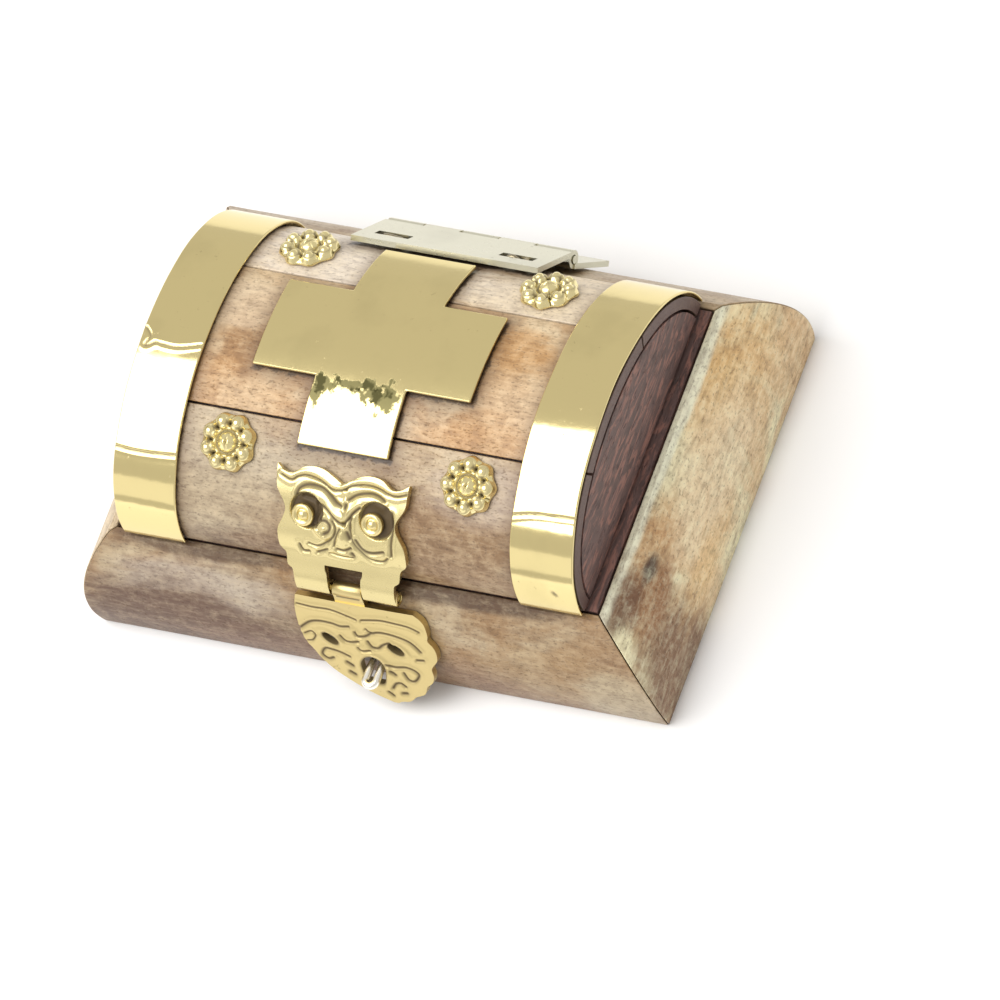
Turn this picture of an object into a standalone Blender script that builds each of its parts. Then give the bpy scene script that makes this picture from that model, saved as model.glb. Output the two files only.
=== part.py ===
"""Small incense box: a wooden tray faced with mitred bone mouldings, and a barrel-vaulted
lid of wood covered with three bone plates. Its fittings are brass: two bands, a cross, four
rosettes, a butt hinge behind, and a hasp in front whose plate is an owl's head and whose
flap is a beast's mask. Metres, +Z up, the front towards -Y, the origin under the middle."""

import math

import bmesh
import bpy
from mathutils import Matrix, Vector

# Overall sizes
BASE_HEIGHT = 0.0160
LID_LENGTH = 0.0620
LID_DEPTH = 0.0430
LID_RISE = 0.0136
LID_GAP = 0.0006
END_LEDGE = 0.0024

# Gaps left between pieces that touch or turn
TOUCH = 0.0003
TURNING = 0.0001

# Tray and mouldings
TRAY_WALL = 0.0026
TRAY_FLOOR = 0.0022
MOULDING_TOP = 0.0008
MOULDING_BULGE = 0.0053
MOULDING_RADIUS = 0.0167
MOULDING_STEPS = 10

# Lid
BONE = 0.0016
LINING = 0.0015
END_PANEL = 0.0034
FRONT_SEAM = math.radians(-24)
BACK_SEAM = math.radians(31)
VAULT_STEPS = 26

# Brass on the lid
BAND_WIDTH = 0.0084
BAND_THICKNESS = 0.0004
CROSS_THICKNESS = 0.0005
CROSS_SPAN = 0.0294
CROSS_ARM = 0.0122
CROSS_X = -0.0009
CROSS_BACK = 0.0034
ROSETTE_RADIUS = 0.00375
ROSETTE_EDGE = 0.0007
ROSETTE_DOME = 0.0011
ROSETTE_LOBES = 8
ROSETTE_X = 0.0162
ROSETTE_FRONT = math.radians(-35.5)
ROSETTE_BACK = math.radians(45.5)

# Hinge behind
HINGE_LENGTH = 0.0253
HINGE_X = 0.0002
HINGE_BEHIND = 0.0022
HINGE_ABOVE = 0.0005
HINGE_KNUCKLE = 0.00115
HINGE_PIN = 0.0005
HINGE_LEAF = 0.0007
HINGE_KNUCKLES = 5
LID_LEAF_WIDTH = 0.0096
LID_LEAF_STANDOFF = 0.0006
BASE_LEAF_WIDTH = 0.0092
BASE_LEAF_SLOPE = math.radians(60)
SLOT_LENGTH = 0.0046
SLOT_WIDTH = 0.0014
SLOT_X = 0.0084
SLOT_FROM_PIN = 0.0066
BRAD_RADIUS = 0.00035

# Owl plate
OWL_HEIGHT = 0.0142
OWL_HALF_WIDTH = 0.0088
OWL_THICKNESS = 0.0008
OWL_SLOT = 0.0023
OWL_SLOT_HEIGHT = 0.0028
OWL_EYE_X = 0.00455
OWL_EYE_BELOW_TOP = 0.0050
OWL_LEG_ABOVE_PIN = 0.0002
EYE_RADIUS = 0.0014
EYE_RISE = 0.0011

# Hasp pin and flap
HASP_PROUD = 0.0018
HASP_BELOW = 0.0001
HASP_KNUCKLE = 0.0009
HASP_PIN = 0.0004
HASP_PIN_REACH = 0.0066
FLAP_SLOPE = math.radians(27)
FLAP_LENGTH = 0.0162
FLAP_SHOULDER = 0.0017
FLAP_HALF_WIDTH = 0.0092
FLAP_THICKNESS = 0.0009
FLAP_DOME = 0.0006
FLAP_LEAN = 0.0016
FLAP_FACE_X = 0.0005
FLAP_EYE_X = 0.0044
FLAP_EYE_DOWN = 0.0073
FLAP_EYE_LENGTH = 0.0021
FLAP_EYE_WIDTH = 0.0011

# Staple
STAPLE_X = 0.0019
STAPLE_WIRE = 0.0004
STAPLE_WIDTH = 0.0022
STAPLE_DOWN = 0.0109
STAPLE_PROUD = 0.0009
STAPLE_DEPTH = 0.0018
MOUTH_HALF_WIDTH = 0.0017
MOUTH_BELOW = 0.0034



def quarter_arc(half_width, rise):
    """The length of a quarter of an ellipse, by Ramanujan's second formula."""
    flatness = ((half_width - rise) / (half_width + rise)) ** 2
    correction = 3 * flatness / (10 + math.sqrt(4 - 3 * flatness))
    return math.pi / 4 * (half_width + rise) * (1 + correction)


# What follows from them
LID_BOTTOM = BASE_HEIGHT + LID_GAP
LID_ARC = quarter_arc(LID_DEPTH / 2, LID_RISE)
HINGE_Y = LID_DEPTH / 2 + HINGE_BEHIND
HINGE_Z = BASE_HEIGHT + HINGE_ABOVE
HASP_Y = -LID_DEPTH / 2 - HASP_PROUD
HASP_Z = BASE_HEIGHT - HASP_BELOW
OWL_BOTTOM = LID_ARC + LID_BOTTOM - HASP_Z - OWL_LEG_ABOVE_PIN
OWL_TOP = OWL_BOTTOM - OWL_HEIGHT
OWL_SLOT_TOP = OWL_BOTTOM - OWL_SLOT_HEIGHT
OWL_EYE_DOWN = OWL_TOP + OWL_EYE_BELOW_TOP
BONE_DROP = BAND_THICKNESS + TOUCH
BASE_HALF_LENGTH = LID_LENGTH / 2 + END_LEDGE
BASE_HALF_DEPTH = LID_DEPTH / 2
MOULDING_WIDEST = math.sqrt(MOULDING_RADIUS**2 - (MOULDING_RADIUS - MOULDING_BULGE) ** 2)
BONE_HALF_DEPTH = LID_DEPTH / 2 - BONE_DROP
BONE_RISE = LID_RISE - BONE_DROP
FLAP_DOWN = Vector((0, -math.sin(FLAP_SLOPE), -math.cos(FLAP_SLOPE)))
FLAP_OUT = Vector((0, -math.cos(FLAP_SLOPE), math.sin(FLAP_SLOPE)))

BONE_COLOUR = (0.50, 0.37, 0.25)
PALE_BONE = (0.62, 0.53, 0.42)
BRASS_COLOUR = (0.72, 0.60, 0.30)
WOOD_COLOUR = (0.10, 0.045, 0.035)


def clear_scene():
    for item in list(bpy.data.objects):
        bpy.data.objects.remove(item, do_unlink=True)


def material(name, colour, roughness, metallic=0.0):
    """A Principled material in the piece's own colour."""
    made = bpy.data.materials.new(name)
    made.use_nodes = True
    shader = made.node_tree.nodes["Principled BSDF"]
    shader.inputs["Base Color"].default_value = (*colour, 1)
    shader.inputs["Roughness"].default_value = roughness
    shader.inputs["Metallic"].default_value = metallic
    made.diffuse_color = (*colour, 1)
    return made


def collection(name):
    made = bpy.data.collections.new(name)
    bpy.context.scene.collection.children.link(made)
    return made


def add_piece(name, mesh, group, colour, parent=None, smooth=False):
    """Links a mesh as a named piece, and hangs it on a joint's empty where one is given."""
    piece = bpy.data.objects.new(name, mesh)
    group.objects.link(piece)
    mesh.materials.append(colour)
    if smooth:
        mesh.shade_smooth()
        mesh.set_sharp_from_angle(angle=math.radians(40))
    if parent:
        piece.parent = parent
        piece.matrix_parent_inverse = Matrix.Translation(-parent.location)
    return piece


def add_axis(name, y, z, group, parent=None):
    """An empty on a joint's axis, which runs along X."""
    axis = bpy.data.objects.new(name, None)
    axis.empty_display_size = 0.005
    axis.location = (0, y, z)
    group.objects.link(axis)
    if parent:
        axis.parent = parent
        axis.matrix_parent_inverse = Matrix.Translation(-parent.location)
    return axis


def run_cutter(piece, cutter, operation="DIFFERENCE"):
    cut = piece.modifiers.new(cutter.name, "BOOLEAN")
    cut.operation = operation
    cut.object = cutter
    cut.solver = "EXACT"


def hide(cutter):
    cutter.hide_render = True
    cutter.display_type = "WIRE"


def mesh_of(bm, name):
    bmesh.ops.recalc_face_normals(bm, faces=bm.faces)
    mesh = bpy.data.meshes.new(name)
    bm.to_mesh(mesh)
    bm.free()
    return mesh


def run_of_profile(name, outline, start, end):
    """The mesh of an outline in the YZ plane, run along X from start to end."""
    curve = bpy.data.curves.new(name, "CURVE")
    curve.dimensions = "2D"
    curve.fill_mode = "BOTH"
    curve.extrude = (end - start) / 2
    spline = curve.splines.new("POLY")
    spline.points.add(len(outline) - 1)
    for point, (y, z) in zip(spline.points, outline):
        point.co = (y, z, 0, 1)
    spline.use_cyclic_u = True
    holder = bpy.data.objects.new(name, curve)
    bpy.context.scene.collection.objects.link(holder)
    graph = bpy.context.evaluated_depsgraph_get()
    mesh = bpy.data.meshes.new_from_object(holder.evaluated_get(graph))
    bpy.data.objects.remove(holder)
    bpy.data.curves.remove(curve)
    bm = bmesh.new()
    bm.from_mesh(mesh)
    bpy.data.meshes.remove(mesh)
    bmesh.ops.remove_doubles(bm, verts=bm.verts, dist=1e-6)
    turn = Matrix(((0, 0, 1), (1, 0, 0), (0, 1, 0))).to_4x4()
    bmesh.ops.transform(bm, matrix=Matrix.Translation(((start + end) / 2, 0, 0)) @ turn, verts=bm.verts)
    bmesh.ops.dissolve_limit(
        bm, angle_limit=math.radians(0.1), verts=bm.verts, edges=bm.edges
    )
    return mesh_of(bm, name)


def box_mesh(name, low, high):
    bm = bmesh.new()
    size = Vector(high) - Vector(low)
    middle = (Vector(high) + Vector(low)) / 2
    place = Matrix.Translation(middle) @ Matrix.Diagonal((*size, 1))
    bmesh.ops.create_cube(bm, size=1, matrix=place)
    return mesh_of(bm, name)


def rod_mesh(name, radius, start, end, y, z, sides=16):
    """A round bar along X."""
    bm = bmesh.new()
    turn = Matrix.Rotation(math.pi / 2, 4, "Y")
    place = Matrix.Translation(((start + end) / 2, y, z)) @ turn
    bmesh.ops.create_cone(
        bm, cap_ends=True, segments=sides, radius1=radius, radius2=radius, depth=end - start, matrix=place
    )
    return mesh_of(bm, name)


def vault_point(angle, inset=0.0):
    """Where the vault's section stands at an angle from the crown, back positive."""
    y = (LID_DEPTH / 2 - inset) * math.sin(angle)
    z = LID_BOTTOM + (LID_RISE - inset) * math.cos(angle)
    return y, z


def arch_outline(first, last, outer_inset, inner_inset, steps):
    """The section of a curved plate between two angles of the vault."""
    angles = [first + (last - first) * step / steps for step in range(steps + 1)]
    outside = [vault_point(angle, outer_inset) for angle in angles]
    inside = [vault_point(angle, inner_inset) for angle in reversed(angles)]
    return outside + inside


def front_of_lid(down, lift):
    """A point in front of the crown, down from it along the section, lifted off the bone.
    Past the edge of the lid it runs straight down."""
    steps = 90
    quarter = math.pi / 2
    half_depth = LID_DEPTH / 2
    travelled = 0.0
    last = Vector((0.0, LID_RISE))
    for step in range(1, steps + 1):
        angle = quarter * step / steps
        here = Vector((half_depth * math.sin(angle), LID_RISE * math.cos(angle)))
        length = (here - last).length
        if travelled + length >= down:
            angle -= quarter / steps * (travelled + length - down) / length
            foot = Vector((half_depth * math.sin(angle), LID_RISE * math.cos(angle)))
            out = Vector((math.sin(angle) / half_depth, math.cos(angle) / LID_RISE)).normalized()
            foot += out * (lift - BONE_DROP)
            return -foot.x, LID_BOTTOM + foot.y
        travelled += length
        last = here
    return -BONE_HALF_DEPTH - lift, LID_BOTTOM - (down - travelled)


def moulding_section():
    """Outward and upward places round a moulding's section: flat behind, round in front."""
    places = [(-MOULDING_TOP, 0.0), (-MOULDING_TOP, BASE_HEIGHT)]
    for step in range(MOULDING_STEPS + 1):
        height = BASE_HEIGHT * (1 - step / MOULDING_STEPS)
        from_widest = BASE_HEIGHT - MOULDING_WIDEST - height
        out = MOULDING_BULGE - MOULDING_RADIUS + math.sqrt(MOULDING_RADIUS**2 - from_widest**2)
        places.append((out, height))
    return places


def moulding_mesh(name, half_length, half_depth, turns):
    """A moulding along one side of the tray, mitred at both ends and turned about Z."""
    mesh = run_of_profile(name, moulding_section(), -1.0, 1.0)
    for vertex in mesh.vertices:
        side = math.copysign(1.0, vertex.co.x)
        out, height = vertex.co.y, vertex.co.z
        along = side * (half_length + out - TOUCH * math.sqrt(0.5))
        vertex.co = (along, -half_depth - out, height)
    mesh.flip_normals()
    mesh.transform(Matrix.Rotation(turns * math.pi / 2, 4, "Z"))
    return mesh


def add_tray(group, cutters, wood):
    """The wooden tray, open at the top."""
    half_length = BASE_HALF_LENGTH - MOULDING_TOP - TOUCH
    half_depth = BASE_HALF_DEPTH - MOULDING_TOP - TOUCH
    low = (-half_length, -half_depth, 0)
    tray = add_piece("tray", box_mesh("tray", low, (half_length, half_depth, BASE_HEIGHT)), group, wood)
    inner_length = half_length - TRAY_WALL
    inner_depth = half_depth - TRAY_WALL
    top = BASE_HEIGHT + TRAY_FLOOR
    hollow = box_mesh("tray_hollow", (-inner_length, -inner_depth, TRAY_FLOOR), (inner_length, inner_depth, top))
    cutter = add_piece("tray_hollow", hollow, cutters, wood)
    hide(cutter)
    run_cutter(tray, cutter)


def staple_end():
    """Where the staple's bend stands in front of the flap, from the flap's own place."""
    on_flap = Vector((STAPLE_X, HASP_Y, HASP_Z)) + FLAP_DOWN * STAPLE_DOWN
    out = FLAP_DOME + FLAP_THICKNESS / 2 + STAPLE_PROUD
    return on_flap.y - out / math.cos(FLAP_SLOPE), on_flap.z


def moulding_front(height):
    """How far forward the front moulding reaches at a height."""
    from_widest = BASE_HEIGHT - MOULDING_WIDEST - height
    out = MOULDING_BULGE - MOULDING_RADIUS + math.sqrt(MOULDING_RADIUS**2 - from_widest**2)
    return -BASE_HALF_DEPTH - out


def add_mouldings(group, cutters, bone):
    """The four mitred bone mouldings. The front one is bored for the staple's legs."""
    across = (BASE_HALF_LENGTH, BASE_HALF_DEPTH)
    along = (BASE_HALF_DEPTH, BASE_HALF_LENGTH)
    sides = (("front", across, 0), ("right", along, 1), ("back", across, 2), ("left", along, 3))
    made = {}
    for side, (half_length, half_depth), turns in sides:
        name = f"moulding_{side}"
        mesh = moulding_mesh(name, half_length, half_depth, turns)
        made[side] = add_piece(name, mesh, group, bone, smooth=True)
    height = staple_end()[1]
    front = moulding_front(height)
    for hand, sign in (("left", -1), ("right", 1)):
        bm = bmesh.new()
        radius = STAPLE_WIRE + TURNING
        depth = STAPLE_DEPTH + TOUCH
        centre = (STAPLE_X + sign * (STAPLE_WIDTH / 2 - STAPLE_WIRE), front, height)
        place = Matrix.Translation(centre) @ Matrix.Rotation(math.pi / 2, 4, "X")
        bmesh.ops.create_cone(
            bm, cap_ends=True, segments=10, radius1=radius, radius2=radius, depth=2 * depth, matrix=place
        )
        cutter = add_piece(f"staple_bore_{hand}", mesh_of(bm, f"staple_bore_{hand}"), cutters, bone)
        hide(cutter)
        run_cutter(made["front"], cutter)


def wire_mesh(name, points, radius):
    """The mesh of a bent wire with closed ends."""
    curve = bpy.data.curves.new(name, "CURVE")
    curve.dimensions = "3D"
    curve.bevel_depth = radius
    curve.bevel_resolution = 2
    curve.use_fill_caps = True
    spline = curve.splines.new("POLY")
    spline.points.add(len(points) - 1)
    for point, place in zip(spline.points, points):
        point.co = (*place, 1)
    holder = bpy.data.objects.new(name, curve)
    bpy.context.scene.collection.objects.link(holder)
    graph = bpy.context.evaluated_depsgraph_get()
    mesh = bpy.data.meshes.new_from_object(holder.evaluated_get(graph))
    bpy.data.objects.remove(holder)
    bpy.data.curves.remove(curve)
    bm = bmesh.new()
    bm.from_mesh(mesh)
    bpy.data.meshes.remove(mesh)
    bmesh.ops.remove_doubles(bm, verts=bm.verts, dist=1e-6)
    return mesh_of(bm, name)


def add_staple(group, brass):
    """A wire loop driven into the front moulding, its bend standing through the flap's mouth."""
    tip, height = staple_end()
    root = moulding_front(height) + STAPLE_DEPTH
    bend = STAPLE_WIDTH / 2 - STAPLE_WIRE
    points = [(STAPLE_X - bend, root, height)]
    turns = 8
    for step in range(turns + 1):
        angle = math.pi * step / turns
        reach = tip + STAPLE_WIRE + bend - bend * math.sin(angle)
        points.append((STAPLE_X - bend * math.cos(angle), reach, height))
    points.append((STAPLE_X + bend, root, height))
    add_piece("staple", wire_mesh("staple", points, STAPLE_WIRE), group, brass, smooth=True)


def add_lid_shell(group, cutters, wood, axis):
    """The wooden lid under the bone: a vault closed by two end panels, hollow from below."""
    outer = BONE_DROP + BONE + TOUCH
    outline = arch_outline(-math.pi / 2, math.pi / 2, outer, outer, VAULT_STEPS)[: VAULT_STEPS + 1]
    half = LID_LENGTH / 2
    shell = add_piece("lid_shell", run_of_profile("lid_shell", outline, -half, half), group, wood, axis)
    inner = outer + LINING
    hollow_outline = arch_outline(-math.pi / 2, math.pi / 2, inner, inner, VAULT_STEPS)[: VAULT_STEPS + 1]
    below = LID_BOTTOM - LINING
    hollow_outline = [(hollow_outline[0][0], below)] + hollow_outline + [(hollow_outline[-1][0], below)]
    inside = half - END_PANEL
    mesh = run_of_profile("lid_hollow", hollow_outline, -inside, inside)
    cutter = add_piece("lid_hollow", mesh, cutters, wood)
    hide(cutter)
    run_cutter(shell, cutter)


def add_bone_plates(group, bone, pale, axis):
    """Three bone plates run the length of the lid, parted by two seams."""
    edge = math.pi / 2
    slack = TOUCH / LID_DEPTH
    plates = (
        ("bone_plate_front", -edge, FRONT_SEAM - slack, 10, bone),
        ("bone_plate_top", FRONT_SEAM + slack, BACK_SEAM - slack, 8, bone),
        ("bone_plate_back", BACK_SEAM + slack, edge, 9, pale),
    )
    for name, first, last, steps, colour in plates:
        outline = arch_outline(first, last, BONE_DROP, BONE_DROP + BONE, steps)
        mesh = run_of_profile(name, outline, -LID_LENGTH / 2, LID_LENGTH / 2)
        add_piece(name, mesh, group, colour, axis, smooth=True)


def add_bands(group, brass, axis):
    """A brass band over each end of the lid."""
    edge = math.pi / 2
    outline = arch_outline(-edge, edge, 0.0, BAND_THICKNESS, VAULT_STEPS)
    end = LID_LENGTH / 2
    for name, start in (("band_left", -end), ("band_right", end - BAND_WIDTH)):
        mesh = run_of_profile(name, outline, start, start + BAND_WIDTH)
        add_piece(name, mesh, group, brass, axis, smooth=True)


def add_cross(group, brass, axis):
    """A sheet brass cross of equal arms, bent over the crown."""
    arm = CROSS_ARM / 2
    reach = CROSS_SPAN / 2
    columns = [-reach, -arm, arm, reach]
    fine = 5
    rows = [-reach + (reach - arm) * step / fine for step in range(fine)]
    rows += [-arm + 2 * arm * step / fine for step in range(fine)]
    rows += [arm + (reach - arm) * step / fine for step in range(fine + 1)]
    bm = bmesh.new()
    corners = {}
    for row, back in enumerate(rows):
        y, z = front_of_lid(abs(back + CROSS_BACK), TOUCH)
        y = math.copysign(y, back + CROSS_BACK)
        for column, x in enumerate(columns):
            corners[row, column] = bm.verts.new((CROSS_X + x, y, z))
    for row in range(len(rows) - 1):
        in_bar = fine <= row < 2 * fine
        for column in range(3):
            if in_bar or column == 1:
                bm.faces.new(
                    (
                        corners[row, column],
                        corners[row, column + 1],
                        corners[row + 1, column + 1],
                        corners[row + 1, column],
                    )
                )
    bmesh.ops.delete(bm, geom=[v for v in bm.verts if not v.link_faces], context="VERTS")
    mesh = mesh_of(bm, "cross")
    piece = add_piece("cross", mesh, group, brass, axis)
    sheet = piece.modifiers.new("sheet", "SOLIDIFY")
    sheet.thickness = CROSS_THICKNESS
    sheet.offset = 1 if mesh.polygons[0].normal.z > 0 else -1


def cast_plate(name, bm, thickness, relief, place):
    """A closed plate from a flat grid in (across, down). Its back is plain, and its front
    rises by the relief. place(across, down, lift) gives the point in space."""
    bmesh.ops.remove_doubles(bm, verts=bm.verts, dist=1e-6)
    raised = bmesh.ops.extrude_face_region(bm, geom=bm.faces[:])["geom"]
    front = {part for part in raised if isinstance(part, bmesh.types.BMVert)}
    for vertex in bm.verts:
        across, down = vertex.co.x, vertex.co.y
        lift = thickness + relief(across, down) if vertex in front else 0.0
        vertex.co = place(across, down, lift)
    return mesh_of(bm, name)


def outlined_grid(columns, rows, top, bottom, half_width):
    """A flat grid between a top edge and a bottom edge, its sides following half_width."""
    bm = bmesh.new()
    bmesh.ops.create_grid(bm, x_segments=columns, y_segments=rows, size=1)
    for vertex in bm.verts:
        side = vertex.co.x
        share = (1 - vertex.co.y) / 2
        down = top(side) + (bottom(side) - top(side)) * share
        vertex.co = (side * half_width(down), down, 0)
    return bm


def hill(distance, width):
    """A smooth rise of 1 that dies away over width."""
    return math.exp(-((distance / width) ** 2))


def rosette_relief(across, down):
    """Petals round a raised eye."""
    radius = math.hypot(across, down) / ROSETTE_RADIUS
    turn = math.atan2(down, across)
    petals = 0.5 + 0.5 * math.cos(ROSETTE_LOBES * turn)
    return ROSETTE_DOME * (hill(radius, 0.28) + 0.5 * petals * hill(radius - 0.66, 0.22))


def rosette_disc():
    """A flat disc with a scalloped edge."""
    bm = bmesh.new()
    around = 4 * ROSETTE_LOBES
    bmesh.ops.create_grid(bm, x_segments=around, y_segments=3, size=1)
    for vertex in bm.verts:
        turn = math.pi * (1 + vertex.co.x)
        share = (1 + vertex.co.y) / 2
        edge = ROSETTE_RADIUS * (0.94 + 0.06 * math.cos(ROSETTE_LOBES * turn))
        vertex.co = (edge * share * math.cos(turn), edge * share * math.sin(turn), 0)
    return bm


def add_rosettes(group, brass, axis):
    """Four stamped rosette studs, two before the cross and two behind it."""
    places = (
        ("rosette_front_left", -ROSETTE_X, ROSETTE_FRONT),
        ("rosette_front_right", ROSETTE_X, ROSETTE_FRONT),
        ("rosette_back_left", -ROSETTE_X, ROSETTE_BACK),
        ("rosette_back_right", ROSETTE_X, ROSETTE_BACK),
    )
    for name, x, angle in places:
        y, z = vault_point(angle, BONE_DROP)
        out = Vector((0, math.sin(angle) / BONE_HALF_DEPTH, math.cos(angle) / BONE_RISE)).normalized()
        along = Vector((1, 0, 0))
        back = out.cross(along)

        def place(across, down, lift, x=x, y=y, z=z, out=out, along=along, back=back):
            return Vector((x, y, z)) + along * across + back * down + out * (lift + TOUCH)

        mesh = cast_plate(name, rosette_disc(), ROSETTE_EDGE, rosette_relief, place)
        add_piece(name, mesh, group, brass, axis, smooth=True)


def owl_top(side):
    """The ears stand at the corners, the brows between them, with a notch in the middle."""
    ear = 0.0006 * max(0.0, (abs(side) - 0.75) / 0.25)
    notch = 0.0010 * hill(side, 0.16)
    dip = 0.0007 * hill(abs(side) - 0.74, 0.12)
    return OWL_TOP + notch + dip - ear


def owl_bottom(side):
    """Two legs, with the slot for the flap's tongue between them."""
    return OWL_SLOT_TOP if abs(side) < 0.33 else OWL_BOTTOM


def owl_half_width(down):
    """Ears wide, waist drawn in, cheeks wide, then the legs."""
    share = (down - OWL_TOP) / (OWL_BOTTOM - OWL_TOP)
    waist = 0.0014 * hill(share - 0.36, 0.15)
    legs = 0.0021 * min(1.0, max(0.0, (share - 0.72) / 0.18))
    return OWL_HALF_WIDTH - waist - legs


def owl_relief(across, down):
    """Brows that meet over the beak, a ring round each eye, and a whorl on each cheek."""
    x = abs(across)
    brow = down - (OWL_EYE_DOWN - 0.0004 - 0.0034 * (x / OWL_HALF_WIDTH) ** 0.8)
    ring = math.hypot(x - OWL_EYE_X, down - OWL_EYE_DOWN) - EYE_RADIUS - 0.0006
    beak = math.hypot(x, (down - OWL_EYE_DOWN - 0.0022) / 1.7)
    cheek = math.hypot(x - 0.0046, down - OWL_EYE_DOWN - 0.0044)
    rise = 0.00045 * hill(brow, 0.0006) + 0.0003 * hill(ring, 0.0004)
    rise += 0.0009 * hill(beak, 0.0009) + 0.0004 * hill(cheek, 0.0013)
    keep_seat = 1 - hill(math.hypot(x - OWL_EYE_X, down - OWL_EYE_DOWN), EYE_RADIUS)
    return rise * keep_seat


def on_owl(across, down, lift):
    """A place on the owl plate. Its legs bend out to the pin below the slot's top."""
    bend = min(1.0, max(0.0, (down - OWL_SLOT_TOP) / (OWL_BOTTOM - OWL_SLOT_TOP)))
    at_pin = -HASP_Y - OWL_THICKNESS - BONE_HALF_DEPTH
    y, z = front_of_lid(down, lift + TOUCH + (at_pin - TOUCH) * bend**2)
    return Vector((across, y, z))


def knuckle_mesh(name, start, end, y, z, radius, bore, sides=16):
    """A short tube along X."""
    outline_outer = []
    outline_inner = []
    for side in range(sides):
        angle = 2 * math.pi * side / sides
        outline_outer.append((radius * math.cos(angle), radius * math.sin(angle)))
        outline_inner.append((bore * math.cos(angle), bore * math.sin(angle)))
    bm = bmesh.new()
    rings = []
    for x in (start, end):
        for outline in (outline_outer, outline_inner):
            rings.append([bm.verts.new((x, y + a, z + b)) for a, b in outline])
    for side in range(sides):
        after = (side + 1) % sides
        outer_a, inner_a, outer_b, inner_b = rings
        bm.faces.new((outer_a[side], outer_a[after], outer_b[after], outer_b[side]))
        bm.faces.new((inner_a[side], inner_a[after], inner_b[after], inner_b[side]))
        bm.faces.new((outer_a[side], outer_a[after], inner_a[after], inner_a[side]))
        bm.faces.new((outer_b[side], outer_b[after], inner_b[after], inner_b[side]))
    return mesh_of(bm, name)


def leaf_edge(slope):
    """The far edge of the lid leaf's underside, for a slope."""
    run = Vector((-math.cos(slope), math.sin(slope)))
    off = Vector((math.sin(slope), math.cos(slope)))
    return Vector((HINGE_Y, HINGE_Z)) + off * (HINGE_KNUCKLE - HINGE_LEAF) + run * LID_LEAF_WIDTH


def lid_leaf_slope():
    """The slope at which the lid leaf's far edge stands off the bone as named."""
    low, high = 0.0, math.pi / 2
    for _ in range(30):
        slope = (low + high) / 2
        edge = leaf_edge(slope)
        reach = LID_LEAF_STANDOFF - BONE_DROP
        across = edge.x / (LID_DEPTH / 2 + reach)
        up = (edge.y - LID_BOTTOM) / (LID_RISE + reach)
        if math.hypot(across, up) > 1:
            high = slope
        else:
            low = slope
    return slope


LID_LEAF_SLOPE = lid_leaf_slope()


def join_knuckle(piece, name, start, end, y, z, radius, pin, helpers, colour):
    """Joins a knuckle to a leaf, and bores both for the pin."""
    mesh = knuckle_mesh(name, start, end, y, z, radius, pin + TURNING)
    knuckle = add_piece(name, mesh, helpers, colour)
    hide(knuckle)
    clear = rod_mesh(f"{name}_bore", pin + TURNING, start - radius, end + radius, y, z)
    bore = add_piece(f"{name}_bore", clear, helpers, colour)
    hide(bore)
    run_cutter(piece, bore)
    run_cutter(piece, knuckle, "UNION")


def add_owl_plate(group, helpers, brass, axis):
    """The hasp's plate: an owl's head bent to the lid, whose legs carry the pin's knuckles."""
    flat = outlined_grid(36, 22, owl_top, owl_bottom, owl_half_width)
    mesh = cast_plate("owl_plate", flat, OWL_THICKNESS, owl_relief, on_owl)
    plate = add_piece("owl_plate", mesh, group, brass, axis, smooth=True)
    outside = owl_half_width(OWL_BOTTOM)
    for hand, start, end in (("left", -outside, -OWL_SLOT), ("right", OWL_SLOT, outside)):
        join_knuckle(
            plate, f"owl_knuckle_{hand}", start, end, HASP_Y, HASP_Z, HASP_KNUCKLE, HASP_PIN, helpers, brass
        )


def add_owl_eyes(group, brass, axis):
    """Two domed nail heads are the owl's eyes."""
    for hand, sign in (("left", -1), ("right", 1)):
        bm = bmesh.new()
        steps = 5
        dome = [(EYE_RADIUS * math.cos(a), EYE_RISE * math.sin(a)) for a in
                (math.pi / 2 * step / steps for step in range(steps + 1))]
        profile = [(0.0, 0.0)] + dome
        verts = [bm.verts.new((radius, 0, height)) for radius, height in profile]
        for low, high in zip(verts, verts[1:]):
            bm.edges.new((low, high))
        bmesh.ops.spin(
            bm, geom=bm.verts[:] + bm.edges[:], axis=(0, 0, 1), cent=(0, 0, 0), dvec=(0, 0, 0),
            angle=2 * math.pi, steps=16, use_merge=True,
        )
        bmesh.ops.remove_doubles(bm, verts=bm.verts, dist=1e-6)
        foot = on_owl(sign * OWL_EYE_X, OWL_EYE_DOWN, OWL_THICKNESS + TOUCH)
        away = on_owl(sign * OWL_EYE_X, OWL_EYE_DOWN, OWL_THICKNESS + EYE_RISE) - foot
        turn = away.to_track_quat("Z", "Y").to_matrix().to_4x4()
        bmesh.ops.transform(bm, matrix=Matrix.Translation(foot) @ turn, verts=bm.verts)
        name = f"owl_eye_{hand}"
        add_piece(name, mesh_of(bm, name), group, brass, axis, smooth=True)


def flap_lean(down):
    """The mask hangs a little askew, so its lower parts stand to the right."""
    return FLAP_LEAN * down / FLAP_LENGTH


def flap_top(side):
    return FLAP_SHOULDER - 0.0012 * hill(side, 0.26)


def flap_bottom(side):
    """A rounded chin that rises towards the cheeks in scallops."""
    scallop = 0.0005 * abs(math.sin(2.5 * math.pi * side))
    return FLAP_LENGTH - 0.0046 * side**2 - 0.0030 * side**8 - scallop


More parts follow.
